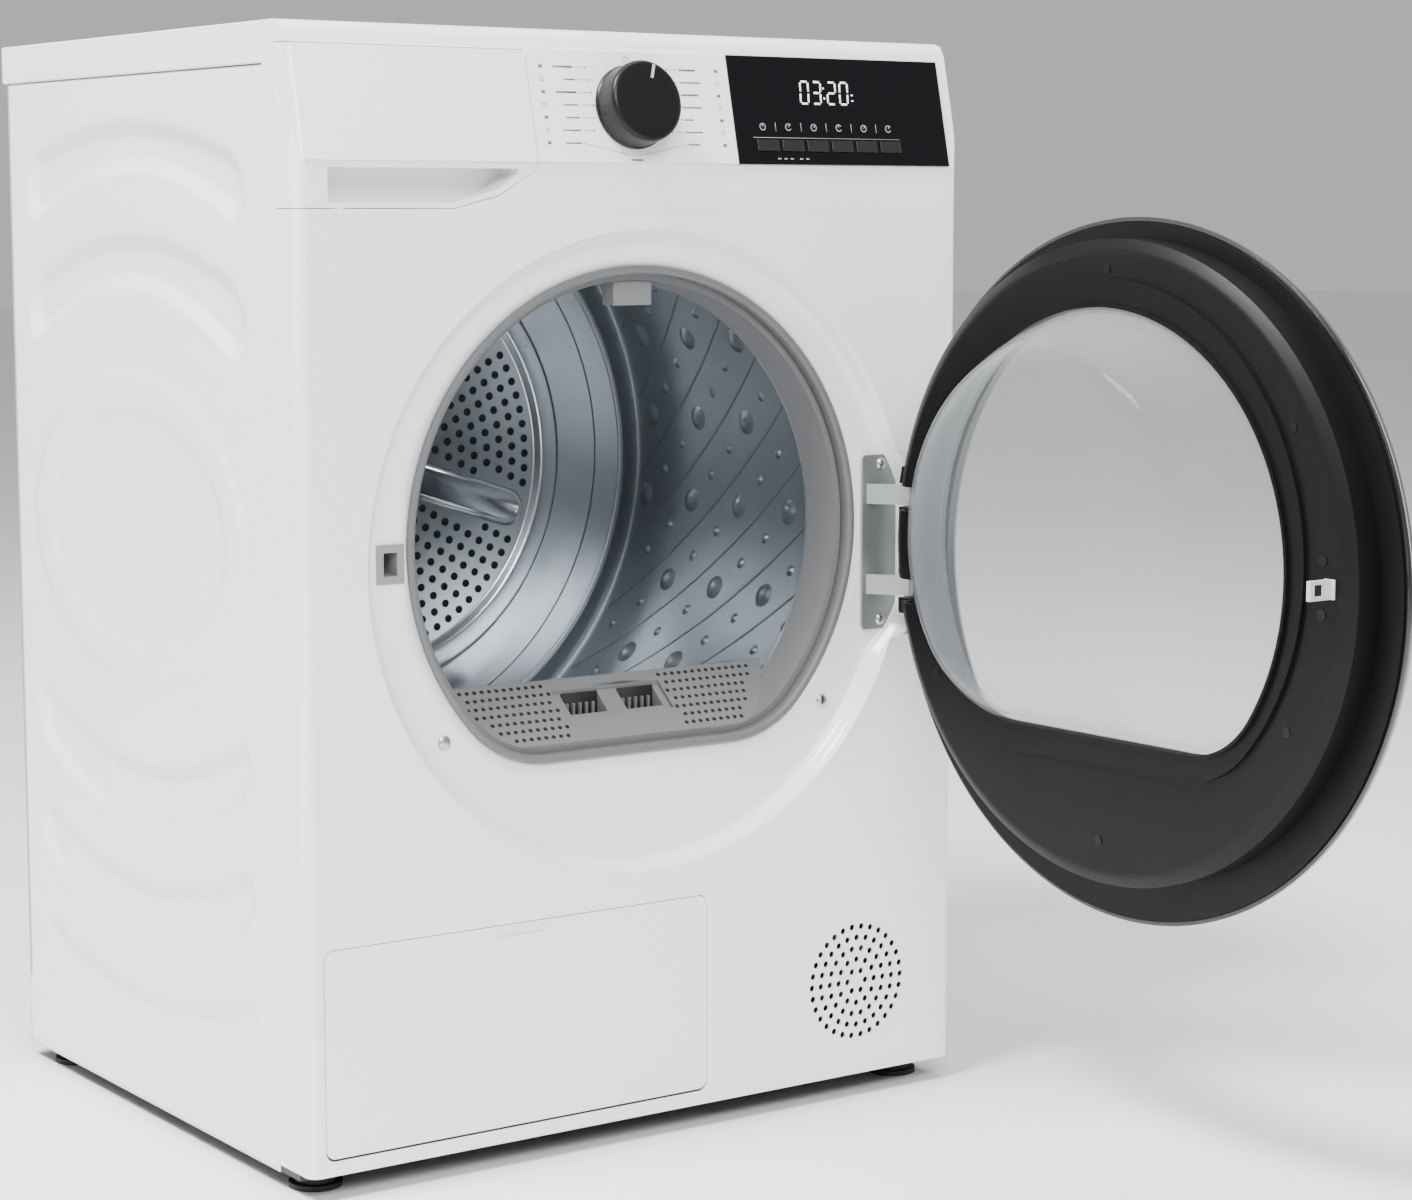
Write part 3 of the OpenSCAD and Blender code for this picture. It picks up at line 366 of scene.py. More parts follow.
cuts = [(at(LATCH_X + k * HALF_W, 0, 0), Vector((1, 0, 0))) for k in (-1, 1)]
cuts += [(at(0, 0, LATCH_Z + k * HALF_H), Vector((0, 0, 1))) for k in (-1, 1)]
for spot, axis in cuts:
    near = [f for f in bm.faces if (f.calc_center_median() - at(LATCH_X, 16, LATCH_Z)).length < 50 * MM]
    around = {*near, *(e for f in near for e in f.edges), *(v for f in near for v in f.verts)}
    bmesh.ops.bisect_plane(bm, geom=list(around), plane_co=spot, plane_no=axis)
slot = []
for f in bm.faces:
    middle = f.calc_center_median() / MM
    if abs(middle.x - LATCH_X) < HALF_W - 0.1 and abs(middle.z - LATCH_Z) < HALF_H - 0.1:
        slot.append(f)
bmesh.ops.delete(bm, geom=slot, context="FACES")
facing(bm, at(0, -900, 450))
piece("door_recess", bm, enamel, "white_enamel", "cabinet", thick=1.0 * MM)


# ---- Fascia ----
# A satin white moulding that wraps both front corners and slopes back from the band upwards.
# It clips over the front sheet; the tank drawer fills its left end.

moulding = finish("white_plastic", (0.90, 0.905, 0.92), 0.3, shade=0.015, spread=0.06, grain=800, height=0.03,
                  Coat_Weight=0.15, Coat_Roughness=0.2)
piece("fascia", node_bmesh("control_fascia"), moulding, "white_plastic", "cabinet", "control_fascia",
      bevel=1.6 * MM, segments=3)

panel_white = finish("panel_white", (0.90, 0.905, 0.915), 0.2, shade=0.01, spread=0.03, grain=500, height=0.01,
                     Coat_Weight=0.5, Coat_Roughness=0.05)
panel_black = finish("panel_black", (0.004, 0.004, 0.005), 0.09, shade=0.2, spread=0.04, grain=900, height=0.01,
                     Specular_IOR_Level=0.16)
piece("programme_plate", node_bmesh("programme_panel"), panel_white, "panel_white", "cabinet", "programme_panel",
      bevel=0.3 * MM)
piece("display_glass", node_bmesh("display_window"), panel_black, "panel_black", "cabinet", "display_window",
      bevel=0.4 * MM)


# ---- Printed marks and the lit display ----
# Fine grey printing on the programme plate, with plain bars where words would stand, and
# lit digits and symbols behind the black window.

TILT = math.radians(12.9)
BAND = at(0, 0, 751)


def on_band(x, up, out):
    """A point on the sloping band: x, millimetres up the slope, and millimetres out from it."""
    return BAND + Vector((x * MM, (up * math.sin(TILT) - out * math.cos(TILT)) * MM,
                          (up * math.cos(TILT) + out * math.sin(TILT)) * MM))


def bar(bm, x0, up0, x1, up1, wide, out=2.0, high=0.08):
    """A flat printed line from one point on the band to another."""
    along = Vector((x1 - x0, up1 - up0)).normalized()
    side = Vector((-along.y, along.x)) * wide / 2
    ends = [(x0 + side.x, up0 + side.y), (x1 + side.x, up1 + side.y),
            (x1 - side.x, up1 - side.y), (x0 - side.x, up0 - side.y)]
    face = bm.faces.new([bm.verts.new(on_band(x, up, out + 0.02)) for x, up in ends])
    top = bmesh.ops.extrude_face_region(bm, geom=[face])
    lift = on_band(0, 0, high) - on_band(0, 0, 0)
    bmesh.ops.translate(bm, verts=[v for v in top["geom"] if isinstance(v, bmesh.types.BMVert)], vec=lift)


def ring(bm, x, up, r, wide, start=0, end=360, steps=20):
    """A printed arc, as short bars."""
    angles = [math.radians(start + (end - start) * i / steps) for i in range(steps + 1)]
    for a, b in zip(angles, angles[1:]):
        bar(bm, x + r * math.cos(a), up + r * math.sin(a), x + r * math.cos(b), up + r * math.sin(b), wide)


KNOB_X, KNOB_UP = -13, 42.5
bm = bmesh.new()
LEFT_WORDS, RIGHT_WORDS = (17, 10, 18, 13, 12, 16, 14), (15, 19, 16, 18, 9, 16, 11)
for i in range(7):
    up = 72.5 - 9.6 * i
    for side in (-1, 1):
        reach = 33 + 1.2 * abs(i - 3)
        inner = KNOB_X + side * reach
        outer = KNOB_X + side * (46 if i in (0, 6) else 45)
        tip = up + (3.5 if i == 6 else 0)
        if i < 6:
            bar(bm, inner, up, outer, up, 0.35)
            ring(bm, inner - side * 0.3, up, 0.5, 0.5, steps=6)
        else:
            bar(bm, KNOB_X + side * 9, 7, outer, up, 0.35)
        word = (LEFT_WORDS if side < 0 else RIGHT_WORDS)[i]
        bar(bm, outer + side * 2, up, outer + side * (2 + word), up, 1.5 if i in (0, 2) else 1.1)
        icon = KNOB_X + side * 76 if side < 0 else KNOB_X + side * 82
        if i % 2:
            ring(bm, icon, up, 1.6, 0.5, steps=10)
        else:
            bar(bm, icon - 1.7, up, icon + 1.7, up, 2.4)
ring(bm, KNOB_X, 80, 2.3, 0.45, 120, 420, steps=16)
bar(bm, KNOB_X, 80.4, KNOB_X, 83, 0.45)
for i in range(9):
    a = math.radians(250 + i * 5)
    bar(bm, KNOB_X + 36 * math.cos(a), KNOB_UP + 36 * math.sin(a), KNOB_X + 37.2 * math.cos(a),
        KNOB_UP + 37.2 * math.sin(a), 0.4)
bar(bm, KNOB_X - 5, 2.6, KNOB_X + 5, 2.6, 1.3)
bmesh.ops.recalc_face_normals(bm, faces=bm.faces)
ink = finish("grey_ink", (0.13, 0.135, 0.14), 0.6, shade=0.1, spread=0.1, grain=2500, height=0.02)
piece("plate_printing", bm, ink, "panel_white", "cabinet")

SEGMENTS = {"0": "abcdef", "2": "abdeg", "3": "abcdg"}
STROKES = {"a": (0, 2, 1, 2), "b": (1, 1, 1, 2), "c": (1, 0, 1, 1), "d": (0, 0, 1, 0),
           "e": (0, 0, 0, 1), "f": (0, 1, 0, 2), "g": (0, 1, 1, 1)}
bm = bmesh.new()
for digit, left in (("0", 147), ("3", 159), ("2", 173.5), ("0", 185.5)):
    for key in SEGMENTS[digit]:
        x0, u0, x1, u1 = STROKES[key]
        wide, tall, lean, foot = 7.6, 8.7, 0.09, 49
        p, q = ((left + x * wide + u * tall * lean, foot + u * tall) for x, u in ((x0, u0), (x1, u1)))
        gap = Vector((q[0] - p[0], q[1] - p[1])).normalized() * 0.9
        bar(bm, p[0] + gap.x, p[1] + gap.y, q[0] - gap.x, q[1] - gap.y, 1.5)
for up in (53.5, 61.5):
    bar(bm, 170.4, up - 0.7, 170.6, up + 0.7, 1.4)
for up in (52, 56.5):
    bar(bm, 197, up, 199, up, 1.1)
lit = finish("display_light", (0.75, 0.78, 0.8), 0.5, grain=1500, Emission_Color=(0.86, 0.9, 0.95, 1),
             Emission_Strength=0.9)
piece("display_digits", bm, lit, "panel_black", "cabinet")

bm = bmesh.new()
for i in range(6):
    x = 107 + 24.6 * i
    ring(bm, x, 30, 2.6, 0.55, 30, 330 if i % 2 else 390, steps=14)
    bar(bm, x, 30, x + (2 if i % 3 else 0), 32.4, 0.5)
    if i < 5:
        bar(bm, x + 12.3, 26.6, x + 12.3, 33.4, 0.35)
bar(bm, 97, 21.5, 240, 21.5, 0.25)
for x in (118, 124, 130, 139, 145):
    bar(bm, x, 5, x + 3, 5, 0.9)
dim = finish("symbol_grey", (0.32, 0.33, 0.34), 0.5, grain=1500, Emission_Color=(0.8, 0.83, 0.86, 1),
             Emission_Strength=0.16)
piece("display_symbols", bm, dim, "panel_black", "cabinet")


# ---- Programme knob ----
# A black moulded knob, slightly waisted, with a soft edge, a finely turned face and one light
# pointer let into the rim; it pushes on to the encoder's shaft.

def spun(bm, profile, centre, steps=128, closed=True):
    """Turns a (radius, depth) profile about an axis that runs front to back."""
    x, z = centre
    verts = [bm.verts.new(at(x + r, depth, z)) for r, depth in profile]
    edges = [bm.edges.new(pair) for pair in zip(verts, verts[1:])]
    if closed:
        edges.append(bm.edges.new((verts[-1], verts[0])))
    bmesh.ops.spin(bm, geom=verts + edges, cent=at(x, 0, z), axis=(0, 1, 0), angle=2 * math.pi,
                   steps=steps, use_merge=True)
    bmesh.ops.remove_doubles(bm, verts=bm.verts, dist=0.000005)
    bmesh.ops.recalc_face_normals(bm, faces=bm.faces)


TO_BAND = Matrix.Translation(BAND) @ Matrix.Rotation(-TILT, 4, "X") @ Matrix.Translation(-at(0, 0, 0))
knob_black = finish("knob_black", (0.005, 0.005, 0.0055), 0.33, shade=0.2, spread=0.1, grain=1400, height=0.05,
                    Specular_IOR_Level=0.25)
bm = bmesh.new()
spun(bm, [(0, -26.6), (22, -26.6), (27.5, -26.4), (29.4, -25.6), (30.4, -24.2), (30.9, -22), (30.6, -14),
          (30.9, -6.2), (31.6, -5.4), (32, -4.6), (32, -2.9), (31.4, -2.6), (0, -2.6)],
     (KNOB_X, KNOB_UP), closed=False)
spun(bm, [(0, 12), (2.8, 12), (2.8, -3), (0, -3)], (KNOB_X, KNOB_UP), steps=24, closed=False)
bmesh.ops.transform(bm, matrix=TO_BAND, verts=bm.verts)
piece("knob_body", bm, knob_black, "knob_black", "programme_knob_body", "programme_knob", bevel=0.25 * MM)

bm = bmesh.new()
pointer = math.radians(72)
inner, outer, wide = 17.5, 28.4, 2.3
middle = (inner + outer) / 2
cube = bmesh.ops.create_cube(bm, size=1)["verts"]
bmesh.ops.scale(bm, vec=(wide * MM, 0.5 * MM, (outer - inner) * MM), verts=cube)
bmesh.ops.transform(bm, matrix=Matrix.Rotation(math.pi / 2 - pointer, 4, "Y"), verts=cube)
bmesh.ops.translate(bm, verts=cube, vec=at(KNOB_X + middle * math.cos(pointer), -26.5,
                                           KNOB_UP + middle * math.sin(pointer)))
bmesh.ops.transform(bm, matrix=TO_BAND, verts=bm.verts)
pointer_grey = finish("pointer_grey", (0.42, 0.43, 0.44), 0.45, shade=0.06, grain=2000)
piece("knob_pointer", bm, pointer_grey, "knob_black", "programme_knob_body", bevel=0.12 * MM)

key_black = finish("key_black", (0.012, 0.012, 0.013), 0.22, shade=0.2, spread=0.06, grain=1600, height=0.03)
for i in range(1, 7):
    piece(f"key_cap_{i}", node_bmesh(f"key_{i}"), key_black, "key_black", f"key_{i}_body", f"key_{i}",
          bevel=0.35 * MM)


# ---- Tank drawer ----
# The drawer's front continues the fascia round the corner: a raised plate over a scooped grip.
# Behind it the translucent tank slides in a tray under the worktop.

piece("drawer_face", node_bmesh("drawer_front"), moulding, "white_plastic", "tank_drawer", "drawer_front",
      bevel=1.5 * MM, segments=3)
tank_clear = finish("tank_clear", (0.72, 0.75, 0.77), 0.35, shade=0.05, grain=500, height=0.05,
                    Transmission_Weight=0.35)
piece("water_tank_body", node_bmesh("water_tank"), tank_clear, "tank_clear", "tank_drawer", "water_tank",
      bevel=3 * MM, segments=3)


# ---- Seal and opening collar ----
# A hollow grey gasket pressed on to the edge of the opening, and the grey moulded collar that
# carries it and lines the way into the drum.

seal_rubber = finish("seal_grey", (0.125, 0.127, 0.13), 0.55, shade=0.06, spread=0.1, grain=1800, height=0.12)
liner = finish("liner_grey", (0.15, 0.152, 0.156), 0.5, shade=0.05, spread=0.1, grain=2200, height=0.16)
bm = bmesh.new()
bead = [(0.2, 15), (0.4, 13.5), (1.4, 12.7), (3.3, 12.4), (5.0, 12.7), (6.0, 13.5), (6.4, 15), (6.4, 24),
        (0.2, 24)]
loft(bm, [dee(205.5 - t, OPEN_Z, 302 + t, 90 - t, depth) for t, depth in bead], closed=True)
piece("seal_bead", bm, seal_rubber, "seal_grey", "cabinet", "door_seal")
piece("collar", node_bmesh("opening_collar"), liner, "liner_grey", "cabinet", "opening_collar", bevel=0.8 * MM)


# ---- Filter grille and lint filter ----
# The lower lip of the opening: a sloping grey grille full of small round holes, and in its
# middle the lift-out head of the lint filter with two finger openings. The holes and the backs of
# the finger openings are near-black discs and plates of painted shade, not cut through.

filter_grey = finish("filter_grey", (0.16, 0.162, 0.166), 0.48, shade=0.06, spread=0.1, grain=2000, height=0.14)
piece("grille_lip", node_bmesh("filter_grille"), filter_grey, "filter_grey", "cabinet", "filter_grille",
      bevel=0.6 * MM)
piece("filter_head", node_bmesh("lint_filter"), filter_grey, "filter_grey", "lint_filter_body", "lint_filter",
      bevel=0.9 * MM)
# Near-black painted shade: flat discs and plates set where holes and openings would show the dark inside.
painted_hole_shade = finish("painted_hole_shade", (0.006, 0.006, 0.006), 0.8, shade=0.2, grain=2500)
RISE = 0.82
LIP_FRONT, LIP_BACK, LIP_Z = 25, 75, 312
MOUTH_R = 194


def hole_shade_rows(x_from, x_to, rows, pitch, r, bm):
    """Near-black discs of painted shade for the round holes, in staggered rows up the sloping lip."""
    tilt = math.atan(RISE)
    for row in range(rows):
        depth = LIP_FRONT + 5 + row * (LIP_BACK - LIP_FRONT - 10) / (rows - 1)
        count = int((x_to - x_from) // pitch)
        for i in range(count + 1):
            x = x_from + (i + 0.5 * (row % 2)) * pitch
            below = OPEN_Z - LIP_Z - RISE * (depth - LIP_FRONT)
            wall = math.sqrt(max(MOUTH_R ** 2 - below ** 2, 0)) - 10
            if x > x_to or abs(x) > wall:
                continue
            made = bmesh.ops.create_cone(bm, cap_ends=True, segments=10, radius1=r * MM, radius2=r * MM,
                                         depth=0.3 * MM)
            turn = Matrix.Rotation(tilt, 4, "X")
            spot = at(x, depth, LIP_Z + 2.5 + RISE * (depth - LIP_FRONT))
            bmesh.ops.transform(bm, matrix=Matrix.Translation(spot) @ turn, verts=made["verts"])


def block(bm, low, high):
    """A square-cornered block between two corners given as (x, depth, z)."""
    a, b = at(*low), at(*high)
    cube = bmesh.ops.create_cube(bm, size=1)["verts"]
    bmesh.ops.scale(bm, vec=b - a, verts=cube)
    bmesh.ops.translate(bm, vec=(a + b) / 2, verts=cube)
    return cube


bm = bmesh.new()
for side in (-1, 1):
    for v in block(bm, (side * 86 - 30, 43, 0), (side * 86 + 30, 66, 0.6)):
        depth = (v.co.y - FRONT) / MM
        v.co.z += (LIP_Z + 1.7 + RISE * (depth - LIP_FRONT)) * MM
piece("grille_gauze", bm, filter_grey, "filter_grey", "cabinet", bevel=0.15 * MM)
bm = bmesh.new()
hole_shade_rows(-176, -52, 7, 6.6, 1.7, bm)
hole_shade_rows(53, 176, 7, 6.6, 1.7, bm)
piece("grille_hole_shade", bm, painted_hole_shade, "filter_grey", "cabinet")
# Near-black plates of painted shade at the back of the two finger openings.
bm = bmesh.new()
for side in (-1, 1):
    block(bm, (side * 26 - 16.8, 63.2, 318), (side * 26 + 16.8, 63.9, 345))
piece("finger_opening_shade", bm, painted_hole_shade, "filter_grey", "lint_filter_body")
bm = bmesh.new()
for side in (-1, 1):
    for k in range(-2, 3):
        block(bm, (side * 26 + k * 6 - 1, 60.6, 320), (side * 26 + k * 6 + 1, 63.4, 337))
piece("finger_ribs", bm, filter_grey, "filter_grey", "lint_filter_body", bevel=0.3 * MM)


# ---- Lamp cover, latch, hinge plate and screws ----
# Small fittings round the opening: a frosted lens at the top of the mouth, the latch that the
# door's hook enters, the zinc hinge plate with its two arms, and plated cross-head screws.

lens = finish("lamp_lens", (0.17, 0.175, 0.18), 0.35, shade=0.04, grain=1200, height=0.1)
piece("lamp_cover", node_bmesh("drum_lamp"), lens, "lamp_lens", "cabinet", "drum_lamp", bevel=1.2 * MM)
latch_grey = finish("latch_grey", (0.24, 0.245, 0.25), 0.42, shade=0.05, grain=1800, height=0.08)
piece("latch_body", node_bmesh("latch_receptacle"), latch_grey, "latch_grey", "cabinet", "latch_receptacle",
      bevel=0.7 * MM)
zinc = finish("zinc_cast", (0.40, 0.42, 0.42), 0.42, shade=0.12, spread=0.2, grain=700, height=0.15,
              Metallic=0.85)
piece("hinge_bracket", node_bmesh("hinge_plate"), zinc, "zinc_cast", "cabinet", "hinge_plate", bevel=0.9 * MM)
plated = finish("screw_steel", (0.50, 0.51, 0.52), 0.3, shade=0.1, spread=0.15, grain=900, height=0.1,
                Metallic=1.0)


def screw_head(bm, x, z, depth, r, high):
    """A domed cross-head screw standing off a face that looks towards the front."""
    spun(bm, [(0, depth - high), (r * 0.45, depth - high * 0.97), (r * 0.8, depth - high * 0.7),
              (r, depth - high * 0.2), (r, depth)], (x, z), steps=24, closed=False)
    for turn in (0, math.pi / 2):
        slot = bmesh.ops.create_cube(bm, size=1)["verts"]
        bmesh.ops.scale(bm, vec=(r * 1.15 * MM, 0.5 * MM, r * 0.24 * MM), verts=slot)
        bmesh.ops.transform(bm, matrix=Matrix.Rotation(turn + 0.4, 4, "Y"), verts=slot)
        bmesh.ops.translate(bm, verts=slot, vec=at(x, depth - high * 0.86, z))


bm = bmesh.new()
for side in (-1, 1):
    screw_head(bm, 232, 451.5 + side * 63, 13, 5, 2.5)
    screw_head(bm, side * 175, 326, 16, 5.5, 2.5)
piece("front_screw_heads", bm, plated, "screw_steel", "cabinet", "front_screws")


# ---- Drum ----
# Stainless sheet rolled and seamed: rows of raised drops that shift along by one groove pitch
# as they go round, fine pressed grooves between them, a stepped rear flange, and a perforated
# back disc stamped with rings and spokes. The perforations are near-black discs of painted
# shade, not holes.

DRUM = (0, 498)
DRUM_R, DRUM_Y0, DRUM_Y1 = 285.6, 68, 445
# The wall's colour is the steel's blue-grey darkened further, as painted shade for the inside of the drum; the back
# disc keeps a lighter steel.
steel = finish("drum_steel", (0.33, 0.36, 0.39), 0.36, shade=0.15, spread=0.1, grain=900, height=0.06,
               Metallic=0.85)
bm = bmesh.new()
spun(bm, [(232.5, 69.2), (232.5, 68), (286.8, 68), (286.8, 444), (284.5, 446.2), (253, 421.2), (249, 422.2),
          (248.8, 460), (247.6, 460), (247.6, 421), (248.6, 419.2), (251.4, 418.6), (254.4, 419.8), (281, 441.2),
          (284.2, 441.6), (285.6, 439), (285.6, 69.2)], DRUM, steps=144)
piece("drum_shell", bm, steel, "drum_steel", "drum", "drum_wall", bevel=0.6 * MM)

ROWS, SHIFT, PITCH = 24, 9.1875, 73.5
DROP_START = 417


def drop(bm, angle, depth, r, high):
    """A raised drop on the drum's inner wall."""
    base, up = DRUM_R, Vector((-math.cos(angle), 0, -math.sin(angle)))
    along, round_ = Vector((0, 1, 0)), Vector((-math.sin(angle), 0, math.cos(angle)))
    foot = at(DRUM[0] + base * math.cos(angle), depth, DRUM[1] + base * math.sin(angle))
    rings = []
    for k, (share, lift) in enumerate(((1.0, -0.04), (0.86, 0.12), (0.66, 0.5), (0.44, 0.8), (0.22, 0.96))):
        ring_verts = []
        for j in range(14):
            a = 2 * math.pi * j / 14
            side = share * r * math.sin(a)
            sag = base - math.sqrt(base * base - side * side)
            ring_verts.append(bm.verts.new(foot + along * (share * r * math.cos(a) * MM) + round_ * (side * MM)
                                           + up * ((high * lift + sag) * MM)))
        rings.append([bm.edges.new((ring_verts[j - 1], ring_verts[j])) for j in range(14)])
    for a, b in zip(rings, rings[1:]):
        bmesh.ops.bridge_loops(bm, edges=a + b)
    bmesh.ops.edgenet_fill(bm, edges=rings[-1])


bm = bmesh.new()
for row in range(ROWS):
    for column in range(-1, 7):
        for turn, move, r, high in ((0, 0, 11.5, 3.4), (5.0, -27, 5.2, 2.4), (-5.0, -45, 5.2, 2.4)):
            depth = DROP_START + ((row * SHIFT) % PITCH) - column * PITCH + move
            angle = math.radians(6.8 - 15 * row + turn)
            if DRUM_Y0 + 30 < depth < DRUM_Y1 - 14:
                drop(bm, angle, depth, r, high)
bmesh.ops.recalc_face_normals(bm, faces=bm.faces)
piece("drum_drops", bm, steel, "drum_steel", "drum")

bm = bmesh.new()
GROOVE = (PITCH + SHIFT) / 15
STRANDS = 27
for strand in range(STRANDS):
    begin = math.radians(6.7 + strand * 360 / STRANDS)
    path = []
    for i in range(41):
        depth = 96 + (436 - 96) * i / 40
        angle = begin - math.radians((depth - 380) / GROOVE)
        path.append((angle, depth))
    rows = []
    for k, (wide, lift) in enumerate(((-2.2, -0.1), (-1.1, 0.6), (0, 0.9), (1.1, 0.6), (2.2, -0.1))):
        rows.append([bm.verts.new(at(DRUM[0] + (DRUM_R - lift) * math.cos(a + wide / DRUM_R),
                                     depth, DRUM[1] + (DRUM_R - lift) * math.sin(a + wide / DRUM_R)))
                     for a, depth in path])
    lines = [[bm.edges.new(pair) for pair in zip(row, row[1:])] for row in rows]
    for a, b in zip(lines, lines[1:]):
        bmesh.ops.bridge_loops(bm, edges=a + b)
bmesh.ops.recalc_face_normals(bm, faces=bm.faces)
facing(bm, at(0, 250, DRUM[1]))
piece("drum_grooves", bm, steel, "drum_steel", "drum")

back_steel = finish("drum_back_steel", (0.60, 0.63, 0.66), 0.24, shade=0.15, spread=0.12, grain=90, height=0.04,
                    Metallic=1.0)
DISC_R, SPOKES, SPOKE_TURN, SPOKE_HALF = 176, 6, -17.6, 17
bm = bmesh.new()
spun(bm, [(0, 458.8), (179.6, 458.8), (181.6, 457.8), (184.4, 453.4), (187, 452), (200.4, 452), (203, 453.4),
          (205.8, 457.8), (208, 458.8), (247.2, 458.8), (247.2, 460), (42, 460), (42, 463), (10, 463), (10, 504),
          (0, 504)], DRUM, steps=144, closed=False)
piece("drum_disc", bm, back_steel, "drum_steel", "drum", "drum_back", bevel=0.4 * MM)

bm = bmesh.new()
for i in range(SPOKES):
    turn = math.radians(SPOKE_TURN + 60 * i)
    outline = []
    for k in range(13):
        a = -math.pi / 2 + math.pi * k / 12
        outline.append((DISC_R - SPOKE_HALF + SPOKE_HALF * math.cos(a), SPOKE_HALF * math.sin(a)))
    outline += [(52, SPOKE_HALF), (52, -SPOKE_HALF)]
    rings = []
    for shrink, rise in ((0, 0), (1.6, 2.2), (4.6, 3.4), (6.4, 3.0), (8.0, 1.6)):
        verts = []
        for r, side in outline:
            r = r - shrink if r > 60 else r
            side = side * (1 - shrink / SPOKE_HALF)
            verts.append(bm.verts.new(at(r * math.cos(turn) - side * math.sin(turn), 458.7 - rise,
                                         DRUM[1] + r * math.sin(turn) + side * math.cos(turn))))
        rings.append([bm.edges.new((verts[n - 1], verts[n])) for n in range(len(verts))])
    for a, b in zip(rings, rings[1:]):
        bmesh.ops.bridge_loops(bm, edges=a + b)
    bm.faces.new(verts)
bmesh.ops.recalc_face_normals(bm, faces=bm.faces)
facing(bm, at(0, -900, DRUM[1]))
piece("drum_disc_spokes", bm, back_steel, "drum_steel", "drum")

# Near-black discs of painted shade standing for the back disc's perforations.
bm = bmesh.new()
for k in range(9):
    r = DISC_R - 5 - k * 13.3
    count = int(2 * math.pi * r / 13.4)
    for i in range(count):
        a = 2 * math.pi * (i + 0.5 * (k % 2)) / count
        off = (math.degrees(a) - SPOKE_TURN + 30) % 60 - 30
        if abs(r * math.sin(math.radians(off))) < SPOKE_HALF + 5:
            continue
        made = bmesh.ops.create_cone(bm, cap_ends=True, segments=12, radius1=3.6 * MM, radius2=3.6 * MM,
                                     depth=0.4 * MM)
        spot = at(r * math.cos(a), 458.7, DRUM[1] + r * math.sin(a))
        bmesh.ops.transform(bm, matrix=Matrix.Translation(spot) @ Matrix.Rotation(math.pi / 2, 4, "X"),
                            verts=made["verts"])
piece("drum_disc_hole_shade", bm, painted_hole_shade, "drum_steel", "drum")

paddle_grey = finish("paddle_grey", (0.20, 0.21, 0.22), 0.4, shade=0.05, grain=1200, height=0.1)
piece("paddles", node_bmesh("drum_paddles"), paddle_grey, "paddle_grey", "drum", "drum_paddles",
      bevel=5 * MM, segments=3)


# ---- Door ----
# A gloss black outer ring, a satin black inner frame with its raised face and lip, and a clear
# bowl clamped between them. The bowl is made closed and swung open on the hinge pin; the ring,
# frame and hook are taken as the CAD placed them.

HINGE = at(243, -20, 0)
SWING = Matrix.Translation(HINGE) @ Matrix.Rotation(math.radians(92), 4, "Z") @ Matrix.Translation(-HINGE)
door_gloss = finish("door_gloss", (0.008, 0.008, 0.009), 0.12, shade=0.2, spread=0.05, grain=900, height=0.01,
                    Coat_Weight=0.5, Coat_Roughness=0.04)
door_black = finish("door_black", (0.0045, 0.0045, 0.005), 0.42, shade=0.15, spread=0.12, grain=1500, height=0.1,
                    Specular_IOR_Level=0.16)


piece("door_rim", node_bmesh("door_outer_ring"), door_gloss, "door_gloss", "door", "door_outer_ring",
      bevel=0.8 * MM)
piece("door_frame", node_bmesh("door_inner_frame"), door_black, "door_black", "door", "door_inner_frame",
      bevel=1.2 * MM, segments=3)
clear = finish("door_clear", (0.30, 0.32, 0.33), 0.05, shade=0.02, spread=0.02, grain=300, height=0.01,
               Specular_IOR_Level=0.35)
edge = clear.node_tree.nodes.new("ShaderNodeLayerWeight")
edge.inputs["Blend"].default_value = 0.35
clearness = clear.node_tree.nodes.new("ShaderNodeMapRange")
clearness.inputs["To Min"].default_value = 0.015
clearness.inputs["To Max"].default_value = 0.4
clear.node_tree.links.new(edge.outputs["Facing"], clearness.inputs["Value"])
clear.node_tree.links.new(clearness.outputs["Result"], clear.node_tree.nodes["Principled BSDF"].inputs["Alpha"])
bm = bmesh.new()
bowl = [(189, 464, 325, 78, 8), (182, 465, 332, 70, 8), (181, 465, 333, 70, 14), (178, 466, 334, 68, 20),
        (172, 468, 338, 66, 34), (163, 470, 346, 64, 50), (154, 472, 357, 60, 64), (147, 474, 366, 56, 73),
        (140, 475, 373, 52, 78), (128, 475, 384, 46, 80.4), (100, 475, 402, 36, 80.8), (60, 475, 430, 20, 81),
        (20, 475, 462, 8, 81)]
bm.faces.new(loft(bm, [dee(*row) for row in bowl])[-1])
bmesh.ops.recalc_face_normals(bm, faces=bm.faces)
facing(bm, at(0, 900, OPEN_Z))
bmesh.ops.transform(bm, matrix=SWING, verts=bm.verts)
piece("door_window", bm, clear, "door_clear", "door", "door_bowl", thick=2.6 * MM)

hook_grey = finish("hook_grey", (0.50, 0.51, 0.51), 0.4, shade=0.05, grain=1500, height=0.06)
piece("strike_hook", node_bmesh("door_hook"), hook_grey, "hook_grey", "door", "door_hook", bevel=0.6 * MM)


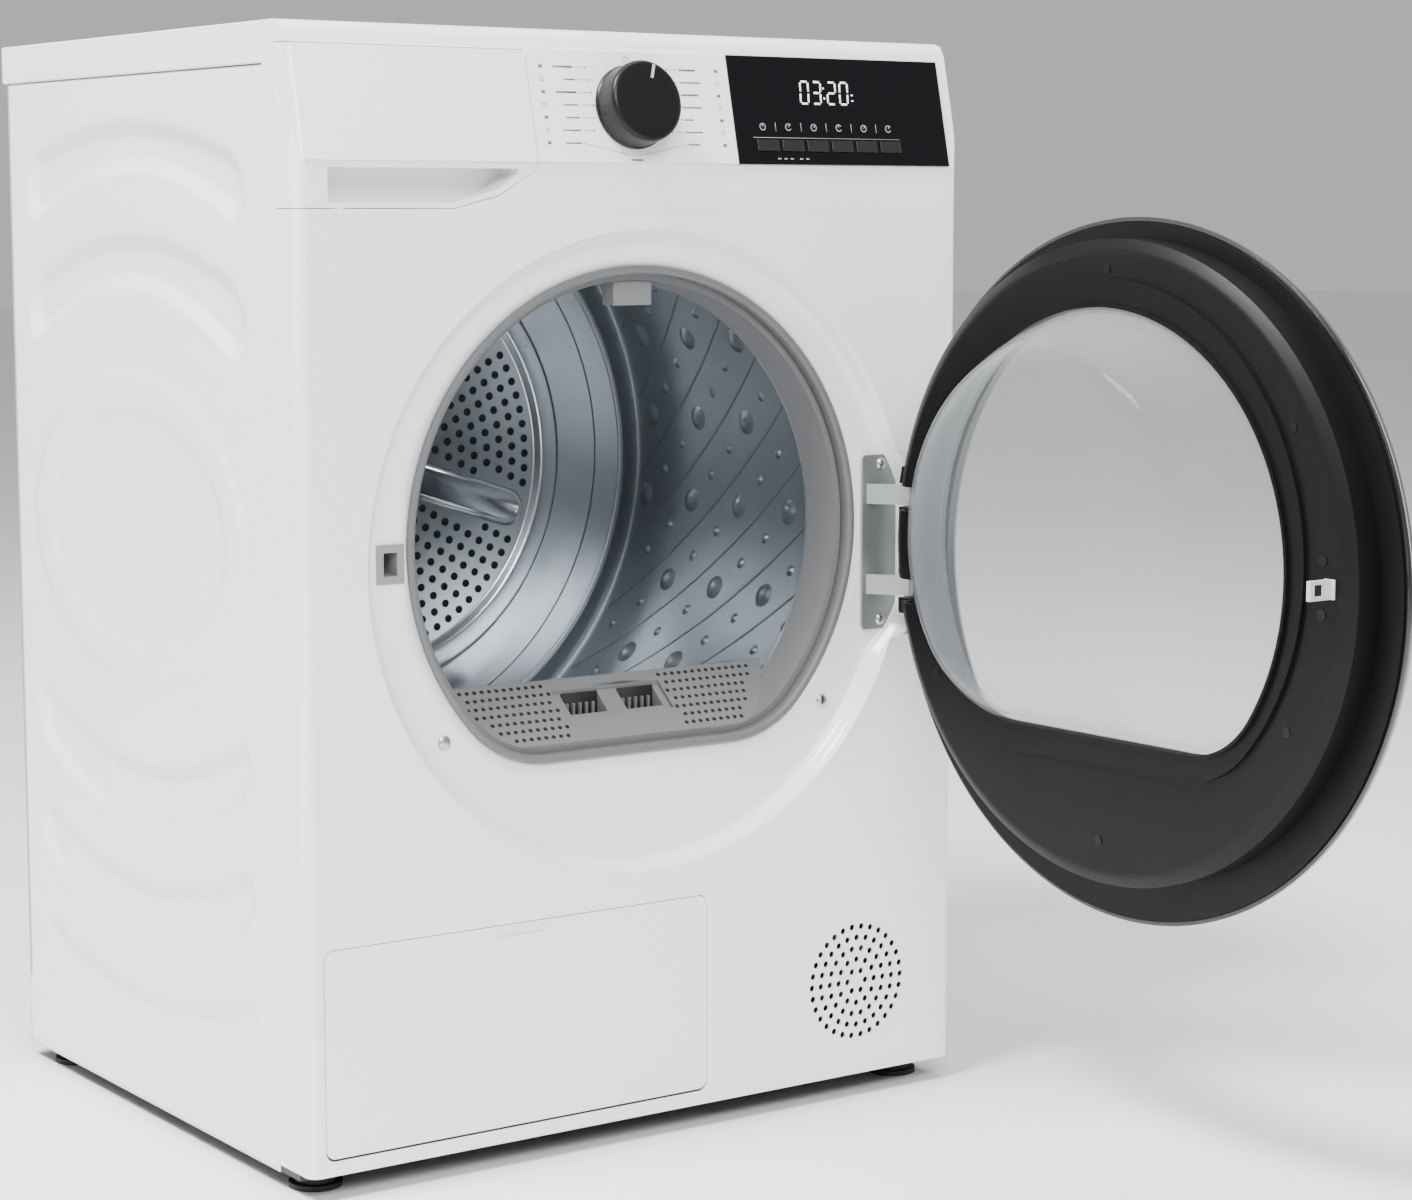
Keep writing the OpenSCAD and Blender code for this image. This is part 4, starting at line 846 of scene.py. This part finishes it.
# ---- Lower front: service flap, fan grille and fan ----
# A white flap over the heat exchanger, hinged on two lugs along its foot, with a finger tab,
# and the round grille through which the cooling fan draws air.

piece("flap", node_bmesh("service_flap"), moulding, "white_plastic", "flap", "service_flap", bevel=0.9 * MM)
piece("grille_round", node_bmesh("fan_grille"), moulding, "white_plastic", "cabinet", "fan_grille",
      bevel=0.4 * MM)


# ---- Parts left as the CAD made them ----
# The base, rear sheet, machinery and small fittings keep their shape and take a real finish.

galvanised = finish("galvanised", (0.52, 0.54, 0.55), 0.38, shade=0.2, spread=0.2, grain=120, height=0.05,
                    Metallic=0.9)
black_plastic = finish("black_plastic", (0.02, 0.02, 0.021), 0.5, shade=0.15, spread=0.12, grain=1300,
                       height=0.15)
rubber = finish("black_rubber", (0.012, 0.012, 0.013), 0.7, shade=0.15, grain=1600, height=0.15)
aluminium = finish("bare_aluminium", (0.62, 0.63, 0.64), 0.35, shade=0.1, spread=0.15, grain=300, height=0.08,
                   Metallic=1.0)
for material, nodes in (
        (galvanised, ("rear_panel", "rear_duct_cover", "front_bulkhead")),
        (plated, ("rear_screws", "door_hinge_pin", "motor_shaft")),
        (knob_black, ("door_screws",)),
        (black_plastic, ("base_tray", "drain_spigot", "mains_inlet", "door_clamp_ring", "process_fan", "fan_housing",
                         "cooling_fan", "fan_shroud", "process_duct", "compressor", "tank_housing")),
        (rubber, ("foot_front_left", "foot_front_right", "foot_rear_left", "foot_rear_right", "drive_belt",
                  "roller_left", "roller_right")),
        (aluminium, ("motor", "heat_exchangers"))):
    for node in nodes:
        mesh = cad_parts[node].data
        mesh.materials.clear()
        mesh.materials.append(material)


# ---- Floor ----
# A pale matt sheet far wider than the machine.

bm = bmesh.new()
bmesh.ops.create_grid(bm, x_segments=4, y_segments=4, size=20)
mesh = bpy.data.meshes.new("floor")
bm.to_mesh(mesh)
bm.free()
mesh.materials.append(finish("pale_floor", (0.88, 0.885, 0.89), 0.6, shade=0.01, spread=0.05, grain=30,
                             height=0.01))
floor = bpy.data.objects.new("floor", mesh)
bpy.context.collection.objects.link(floor)
